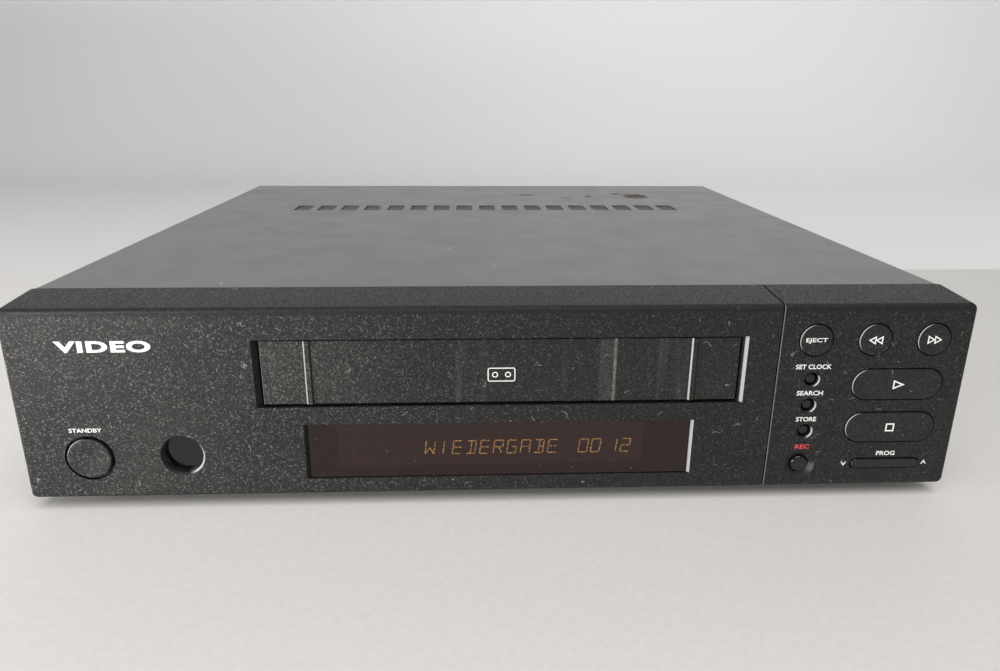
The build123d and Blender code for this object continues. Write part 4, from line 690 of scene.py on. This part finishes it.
def rounded_rectangle(wide, high, corner, steps=4):
    """Corners of a rectangle with round corners, in order."""
    points = []
    for sign_x, sign_z, start in ((1, 1, 0), (-1, 1, 90), (-1, -1, 180), (1, -1, 270)):
        for step in range(steps + 1):
            angle = math.radians(start + 90 * step / steps)
            points.append((sign_x * (wide / 2 - corner) + corner * math.cos(angle),
                           sign_z * (high / 2 - corner) + corner * math.sin(angle)))
    return points


def ring(x, radius, count=16):
    """Corners of a circle whose middle lies at x."""
    turns = [math.tau * i / count for i in range(count)]
    return [(x + radius * math.cos(a), radius * math.sin(a)) for a in turns]


# Words over the keys: key below, place of the word from the key's middle (right and up), and
# the word's width and height (millimetres).
for name, words, key, right, up, wide, high, ink in (
    ("standby_word", "STANDBY", "standby_button", 0.0, 12.9, 13.4, 1.9, white_ink),
    ("set_clock_words", "SET CLOCK", "set_clock_button", 0.0, 5.9, 15.4, 2.1, white_ink),
    ("search_word", "SEARCH", "search_button", -0.1, 5.8, 11.4, 2.1, white_ink),
    ("store_word", "STORE", "store_button", -0.1, 5.7, 8.9, 2.1, white_ink),
    ("record_word", "REC", "record_button", 0.2, 8.6, 6.4, 2.2, red_ink),
    ("program_word", "PROG", "program_rocker", 0.0, 4.8, 8.4, 2.1, white_ink),
):
    spot = middle(key) + Vector((right * mm, 0, up * mm))
    spot.y = FACE_Y - PROUD
    lettering(name, words, spot, wide * mm, high * mm, ink)

badge_at = Vector((FRONT_LEFT + 40.4 * mm, FACE_Y - PROUD, 74.9 * mm))
lettering("badge_word", "VIDEO", badge_at, 38.0 * mm, 5.0 * mm, bold=0.045, spread=1.12)


def on_key(button):
    """Middle of a key's face, where its sign is printed."""
    return Vector((middle(button).x, KEY_FACE - PROUD, middle(button).z))


lettering("eject_word", "EJECT", on_key("eject_button"), 9.2 * mm, 2.4 * mm, body="eject_key",
          bold=0.012)
line_drawing("rewind_sign", twin_triangles(-1), on_key("rewind_button"), 0.5 * mm, "rewind_key")
line_drawing("fast_forward_sign", twin_triangles(1), on_key("fast_forward_button"), 0.5 * mm,
             "fast_forward_key")
line_drawing("play_sign", [triangle(0.4 * mm, 1, 4.0 * mm, 3.4 * mm)], on_key("play_button"),
             0.6 * mm, "play_key")
line_drawing("stop_sign", [square(1.6 * mm)], on_key("stop_button"), 0.6 * mm, "stop_key")

for name, right, tip in (("program_down_sign", -18.3, -0.8), ("program_up_sign", 18.1, 0.8)):
    arrow = [(-1.0 * mm, -tip * mm), (0, tip * mm), (1.0 * mm, -tip * mm)]
    spot = middle("program_rocker") + Vector((right * mm, 0, 0))
    spot.y = FACE_Y - PROUD
    line_drawing(name, [arrow], spot, 0.45 * mm, closed=False)

cassette = [rounded_rectangle(11.2 * mm, 5.8 * mm, 0.8 * mm), ring(-2.7 * mm, 1.05 * mm),
            ring(2.7 * mm, 1.05 * mm)]
line_drawing("cassette_drawing", cassette, Vector((0.9 * mm, FLAP_FACE - PROUD, 60.7 * mm)),
             0.42 * mm, "flap")

# ---------------------------------------------------------------- lit characters
# Each segment runs between two places in a character that is 1 wide and 1 high.
SEGMENTS = {
    "a": (0, 1, 1, 1), "b": (1, 1, 1, 0.5), "c": (1, 0.5, 1, 0), "d": (0, 0, 1, 0),
    "e": (0, 0.5, 0, 0), "f": (0, 1, 0, 0.5), "g": (0, 0.5, 0.5, 0.5), "h": (0.5, 0.5, 1, 0.5),
    "i": (0.5, 1, 0.5, 0.5), "j": (0.5, 0.5, 1, 1), "k": (0, 0, 0.5, 0.5),
    "l": (0.5, 0.5, 0.5, 0), "m": (0.5, 0.5, 1, 0),
}
LIT = {"W": "febckm", "I": "il", "E": "afgedh", "D": "abcdil", "R": "abfeghm", "G": "afedch",
       "A": "abcefgh", "B": "abcdilh", "0": "abcdef", "1": "bc", "2": "abghed"}
# The counter's digits don't keep to the words' even cells.
CHARACTERS = [*zip("WIEDERGABE", range(10)), ("0", 11.28), ("0", 12.2), ("1", 13.4), ("2", 14.4)]
CELL_PITCH, CELL_WIDE, CELL_HIGH, LEAN = 6.0 * mm, 3.9 * mm, 6.3 * mm, 0.13
FIRST_CELL = TUBE_LOW + Vector((39.6 * mm, 0, 5.25 * mm))


def lit_bar(build, character_x, segment):
    """One lit segment: a thin bar with pointed ends, just in front of the tube."""
    x0, z0, x1, z1 = segment
    start, end = (Vector((character_x + (x - 0.5) * CELL_WIDE + z * CELL_HIGH * LEAN,
                          FIRST_CELL.z + z * CELL_HIGH)) for x, z in ((x0, z0), (x1, z1)))
    run = (end - start).normalized()
    side = Vector((-run.y, run.x)) * 0.22 * mm
    shoulder, tip = run * 0.34 * mm, run * 0.1 * mm
    outline = (start + tip, start + shoulder + side, end - shoulder + side, end - tip,
               end - shoulder - side, start + shoulder - side)
    front = [build.verts.new((p.x, TUBE_LOW.y - 0.08 * mm, p.y)) for p in outline]
    back = [build.verts.new((p.x, TUBE_LOW.y + 0.02 * mm, p.y)) for p in outline]
    build.faces.new(front)
    build.faces.new(reversed(back))
    join_loops(build, front, back)


def lit_characters():
    build = bmesh.new()
    for letter, cell in CHARACTERS:
        for key in LIT[letter]:
            lit_bar(build, FIRST_CELL.x + cell * CELL_PITCH, SEGMENTS[key])
    return mesh_from(build, "lit_characters")


add_piece("lit_characters", lit_characters(), amber, "cabinet")


# ---------------------------------------------------------------- screws and contacts
class Tree:
    """A geometry node tree built in short calls; sizes are its named inputs."""

    def __init__(self, name, sizes):
        self.group = bpy.data.node_groups.new(name, "GeometryNodeTree")
        face = self.group.interface
        face.new_socket("Geometry", in_out="INPUT", socket_type="NodeSocketGeometry")
        for label, value in sizes.items():
            kind = "NodeSocketInt" if isinstance(value, int) else "NodeSocketFloat"
            made = face.new_socket(label, in_out="INPUT", socket_type=kind)
            made.default_value = value
        face.new_socket("Geometry", in_out="OUTPUT", socket_type="NodeSocketGeometry")
        self.entry = self.group.nodes.new("NodeGroupInput")
        self.exit = self.group.nodes.new("NodeGroupOutput")

    def node(self, kind, inputs=(), **settings):
        """First output of a new node; its inputs are values or other outputs."""
        made = self.group.nodes.new(kind)
        for key, value in settings.items():
            setattr(made, key, value)
        for key, value in dict(inputs).items():
            if isinstance(value, bpy.types.NodeSocket):
                self.group.links.new(value, made.inputs[key])
            else:
                made.inputs[key].default_value = value
        return made.outputs[0]

    def size(self, label):
        return self.entry.outputs[label]

    def times(self, value, factor):
        return self.node("ShaderNodeMath", {0: value, 1: factor}, operation="MULTIPLY")

    def vector(self, x=0.0, y=0.0, z=0.0):
        return self.node("ShaderNodeCombineXYZ", {0: x, 1: y, 2: z})

    def join(self, *parts):
        made = self.group.nodes.new("GeometryNodeJoinGeometry")
        for part in parts:
            self.group.links.new(part, made.inputs[0])
        return made.outputs[0]

    def close(self, geometry, finish):
        """Send the geometry out as plain faces with a finish."""
        real = self.node("GeometryNodeRealizeInstances", {0: geometry})
        painted = self.node("GeometryNodeSetMaterial", {0: real, "Material": finish})
        self.group.links.new(painted, self.exit.inputs[0])

    def grow(self, name, mesh, **sizes):
        """Run the tree on a mesh and return the plain result."""
        thing = in_scene(name, mesh)
        modifier = thing.modifiers.new("shape", "NODES")
        modifier.node_group = self.group
        for item in self.group.interface.items_tree:
            if item.in_out == "INPUT" and item.name.replace(" ", "_") in sizes:
                modifier[item.identifier] = sizes[item.name.replace(" ", "_")]
        return evaluated_mesh(thing)


def screw_tree(finish):
    """Pan head with a cross recess and a short shank, on each point along its direction."""
    tree = Tree("cross_head_screw", {"Head Radius": 3.6 * mm, "Head Height": 1.5 * mm,
                                     "Shank Radius": 1.5 * mm, "Shank Length": 3.0 * mm})
    radius, height = tree.size("Head Radius"), tree.size("Head Height")
    head = tree.node("GeometryNodeMeshCone", {
        "Vertices": 40, "Side Segments": 1, "Fill Segments": 1, "Radius Bottom": radius,
        "Radius Top": tree.times(radius, 0.72), "Depth": height})
    slab_size = tree.vector(tree.times(radius, 1.05), tree.times(radius, 0.22),
                            tree.times(height, 1.3))
    slabs = [tree.node("GeometryNodeTransform", {
        0: tree.node("GeometryNodeMeshCube", {"Size": slab_size}),
        "Translation": tree.vector(z=height), "Rotation": (0, 0, turn)})
        for turn in (0.0, math.pi / 2)]
    cut = tree.node("GeometryNodeMeshBoolean", {0: head, 1: tree.join(*slabs)},
                    operation="DIFFERENCE")
    shank = tree.node("GeometryNodeTransform", {
        0: tree.node("GeometryNodeMeshCylinder", {
            "Vertices": 20, "Radius": tree.size("Shank Radius"),
            "Depth": tree.size("Shank Length")}),
        "Translation": tree.vector(z=tree.times(tree.size("Shank Length"), -0.5))})
    way = tree.node("GeometryNodeInputNamedAttribute", {"Name": "outward"},
                    data_type="FLOAT_VECTOR")
    placed = tree.node("GeometryNodeInstanceOnPoints", {
        "Points": tree.entry.outputs[0], "Instance": tree.join(cut, shank),
        "Rotation": tree.node("FunctionNodeAlignRotationToVector", {"Vector": way}, axis="Z")})
    tree.close(placed, finish)
    return tree


def contact_tree(finish):
    """Flat contact blades in two staggered rows, on each point."""
    count = 10
    tree = Tree("contact_blades", {"Pitch": 3.8 * mm, "Count": count, "Row Gap": 3.0 * mm,
                                   "Blade Width": 2.2 * mm, "Blade Sheet": 0.5 * mm,
                                   "Blade Length": 5.0 * mm})
    blade = tree.node("GeometryNodeMeshCube", {"Size": tree.vector(
        tree.size("Blade Width"), tree.size("Blade Length"), tree.size("Blade Sheet"))})
    rows = []
    for side in (-0.5, 0.5):
        start = tree.vector(tree.times(tree.size("Pitch"), (1 - count) / 2 + side * 0.5),
                            z=tree.times(tree.size("Row Gap"), side))
        line = tree.node("GeometryNodeMeshLine", {"Count": tree.size("Count"),
                         "Start Location": start, "Offset": tree.vector(tree.size("Pitch"))})
        rows.append(tree.node("GeometryNodeInstanceOnPoints", {"Points": line,
                              "Instance": blade}))
    placed = tree.node("GeometryNodeInstanceOnPoints", {"Points": tree.entry.outputs[0],
                       "Instance": tree.join(*rows)})
    tree.close(placed, finish)
    return tree


def points_with_way(name, places):
    """Loose points, each with the direction in which it faces outwards."""
    mesh = bpy.data.meshes.new(name)
    mesh.from_pydata([place for place, way in places], [], [])
    ways = mesh.attributes.new("outward", "FLOAT_VECTOR", "POINT")
    for item, (place, way) in zip(ways.data, places):
        item.vector = way
    return mesh


def loose_solids(node):
    """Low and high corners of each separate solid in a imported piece."""
    build = bmesh.new()
    build.from_mesh(nodes[node].data)
    bmesh.ops.remove_doubles(build, verts=build.verts, dist=1e-6)
    seen, found = set(), []
    for start in build.verts:
        if start.index in seen:
            continue
        seen.add(start.index)
        waiting, places = [start], []
        while waiting:
            corner = waiting.pop()
            places.append(corner.co.copy())
            for edge in corner.link_edges:
                other = edge.other_vert(corner)
                if other.index not in seen:
                    seen.add(other.index)
                    waiting.append(other)
        found.append((Vector([min(p[k] for p in places) for k in range(3)]),
                      Vector([max(p[k] for p in places) for k in range(3)])))
    build.free()
    return found


def screw_places(node, head_height, upright_way):
    """Seat and outward direction of each screw, read from its solid's corners.

    Screws across the machine face out to the nearer side, and those along it to the rear.
    upright_way says whether the upright ones face up (1) or down (-1).
    """
    places = []
    for low, high in loose_solids(node):
        size, mid = high - low, (low + high) / 2
        axis = next(k for k in range(3)
                    if abs(size[(k + 1) % 3] - size[(k + 2) % 3]) < 0.2 * mm)
        sign = (1 if mid.x > 0 else -1, 1, upright_way)[axis]
        way = Vector((0, 0, 0))
        way[axis] = sign
        seat = mid.copy()
        seat[axis] = (high if sign > 0 else low)[axis] - sign * head_height
        places.append((seat, way))
    return places


def screw_heads(name, node, finish, upright_way, head_radius, head_height, shank_radius,
                shank_length):
    """Cross-head screws in place of a packed group of plain ones, a hair below their tops."""
    places = screw_places(node, head_height + 0.05 * mm, upright_way)
    mesh = screw_tree(finish).grow(name, points_with_way(f"{node}_points", places),
                                   Head_Radius=head_radius, Head_Height=head_height,
                                   Shank_Radius=shank_radius, Shank_Length=shank_length)
    add_piece(name, mesh, finish, "cabinet", [node])


screw_heads("case_screw_heads", "case_screws", black_screw, -1, 3.55 * mm, 1.45 * mm, 1.45 * mm,
            2.4 * mm)
screw_heads("inner_screw_heads", "inner_screws", zinc_sheet, 1, 3.15 * mm, 1.75 * mm, 1.35 * mm,
            6.5 * mm)

contact_places = []
for low, high in loose_solids("scart_sockets"):
    spot = Vector(((low.x + high.x) / 2, REAR_FACE - 4.4 * mm, high.z - 6.75 * mm))
    contact_places.append((spot, Vector((0, 1, 0))))
contacts = contact_tree(brass).grow("socket_contacts",
                                    points_with_way("contact_points", contact_places),
                                    Row_Gap=3.1 * mm, Blade_Length=3.2 * mm)
add_piece("socket_contacts", contacts, brass, "cabinet")

# Words over the rear sockets: middle across, width (millimetres).
sockets_x = middle("scart_sockets").x
tuner_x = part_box("tuner_module")[0].x
for words, x, wide in (("1", sockets_x - 28 * mm, 0.9), ("2", sockets_x + 28 * mm, 1.5),
                       ("IN", tuner_x + 16 * mm, 2.6), ("OUT", tuner_x + 40 * mm, 5.0)):
    lettering(f"rear_{words.lower()}", words, Vector((x, REAR_FACE + PROUD, 33.6 * mm)),
              wide * mm, 2.4 * mm, turn=REAR_TURN)


# ---------------------------------------------------------------- dust screen
def folded_lid(name, half_wide, front, rear, flat, rim, sheet):
    """Flat sheet with its edges turned down on all four sides and a small bend at each fold.

    flat and rim are the heights of the sheet and of its lower edges.
    """
    bend = 0.3 * mm
    build = bmesh.new()
    loops = []
    for inset, z in ((0, rim), (0, flat - bend), (bend * 0.3, flat - bend * 0.3), (bend, flat)):
        left, right = -half_wide + inset, half_wide - inset
        near, far = front + inset, rear - inset
        corners = ((left, near, z), (right, near, z), (right, far, z), (left, far, z))
        loops.append([build.verts.new(corner) for corner in corners])
    for one, two in zip(loops, loops[1:]):
        join_loops(build, one, two)
    build.faces.new(loops[-1])
    thing = in_scene(name, mesh_from(build, name))
    wall = thing.modifiers.new("sheet", "SOLIDIFY")
    wall.thickness = sheet
    wall.offset = 0.0
    return evaluated_mesh(thing)


# It hangs under the cover's row of slots and reaches past the row on every side.
slots_y = FACE_Y + 232 * mm
cover_under = COVER_TOP - 1.0 * mm
screen = folded_lid("dust_screen", 146 * mm, slots_y - 16 * mm, slots_y + 16 * mm,
                    cover_under - 0.2 * mm, cover_under - 1.6 * mm, 0.3 * mm)
add_piece("dust_screen", screen, gauze, "cabinet")


# ---------------------------------------------------------------- table, wall, light, camera
def table_and_backdrop(half_wide, near, bend_start, bend_radius, top, steps=16):
    """Table that bends up into a wall behind the machine."""
    profile = [(near, 0.0), (bend_start, 0.0)]
    for step in range(1, steps + 1):
        angle = math.pi / 2 * step / steps
        profile.append((bend_start + bend_radius * math.sin(angle),
                        bend_radius - bend_radius * math.cos(angle)))
    profile.append((bend_start + bend_radius, top))
    build = bmesh.new()
    rows = [[build.verts.new((x, y, z)) for x in (-half_wide, half_wide)] for y, z in profile]
    for one, two in zip(rows, rows[1:]):
        build.faces.new((one[0], one[1], two[1], two[0]))
    mesh = bpy.data.meshes.new("table_and_backdrop")
    build.to_mesh(mesh)
    build.free()
    mesh.materials.append(table_and_wall())
    for face in mesh.polygons:
        face.use_smooth = True
    in_scene("table_and_backdrop", mesh)


table_and_backdrop(half_wide=3.5, near=-3.0, bend_start=0.9, bend_radius=0.5, top=2.6)

world = bpy.data.worlds.new("soft_room")
bpy.context.scene.world = world
world.use_nodes = True
world.node_tree.nodes["Background"].inputs["Color"].default_value = (0.96, 0.98, 1.0, 1)
world.node_tree.nodes["Background"].inputs["Strength"].default_value = 0.24


def soft_lamp(name, place, target, size, power):
    """Square soft lamp that looks at a target."""
    data = bpy.data.lights.new(name, "AREA")
    data.size = size
    data.energy = power
    lamp = in_scene(name, data)
    lamp.location = place
    way = Vector(target) - Vector(place)
    lamp.rotation_euler = way.to_track_quat("-Z", "Y").to_euler()


soft_lamp("window_left", (-0.95, -1.15, 0.18), (0, -0.15, 0.04), 0.34, 10)
soft_lamp("side_left", (-1.15, -0.5, 0.2), (0, -0.175, 0.05), 0.25, 8)
soft_lamp("ceiling", (0.1, -1.1, 2.0), (0, 0.2, 0), 1.8, 43)


def looking(pitch, yaw, roll):
    """Turn of a camera that looks along the machine, pitched down, turned and rolled."""
    ahead = Vector((-math.sin(yaw), math.cos(yaw), 0))
    right = Vector((math.cos(yaw), math.sin(yaw), 0))
    view = ahead * math.cos(pitch) - Vector((0, 0, math.sin(pitch)))
    upward = ahead * math.sin(pitch) + Vector((0, 0, math.cos(pitch)))
    rolled_right = right * math.cos(roll) + upward * math.sin(roll)
    rolled_up = upward * math.cos(roll) - right * math.sin(roll)
    return Matrix((rolled_right, rolled_up, -view)).transposed().to_4x4()


camera_data = bpy.data.cameras.new("camera")
camera_data.sensor_width = 36.0
camera_data.lens = 24.939
camera_data.shift_y = -0.04
camera_data.clip_start = 0.01
camera = in_scene("camera", camera_data)
camera_place = Matrix.Translation((-0.01132, -0.44164, 0.17489))
camera.matrix_world = camera_place @ looking(pitch=0.289237, yaw=-0.0424335, roll=0.00646817)
bpy.context.scene.camera = camera
bpy.context.scene.view_settings.view_transform = "Standard"
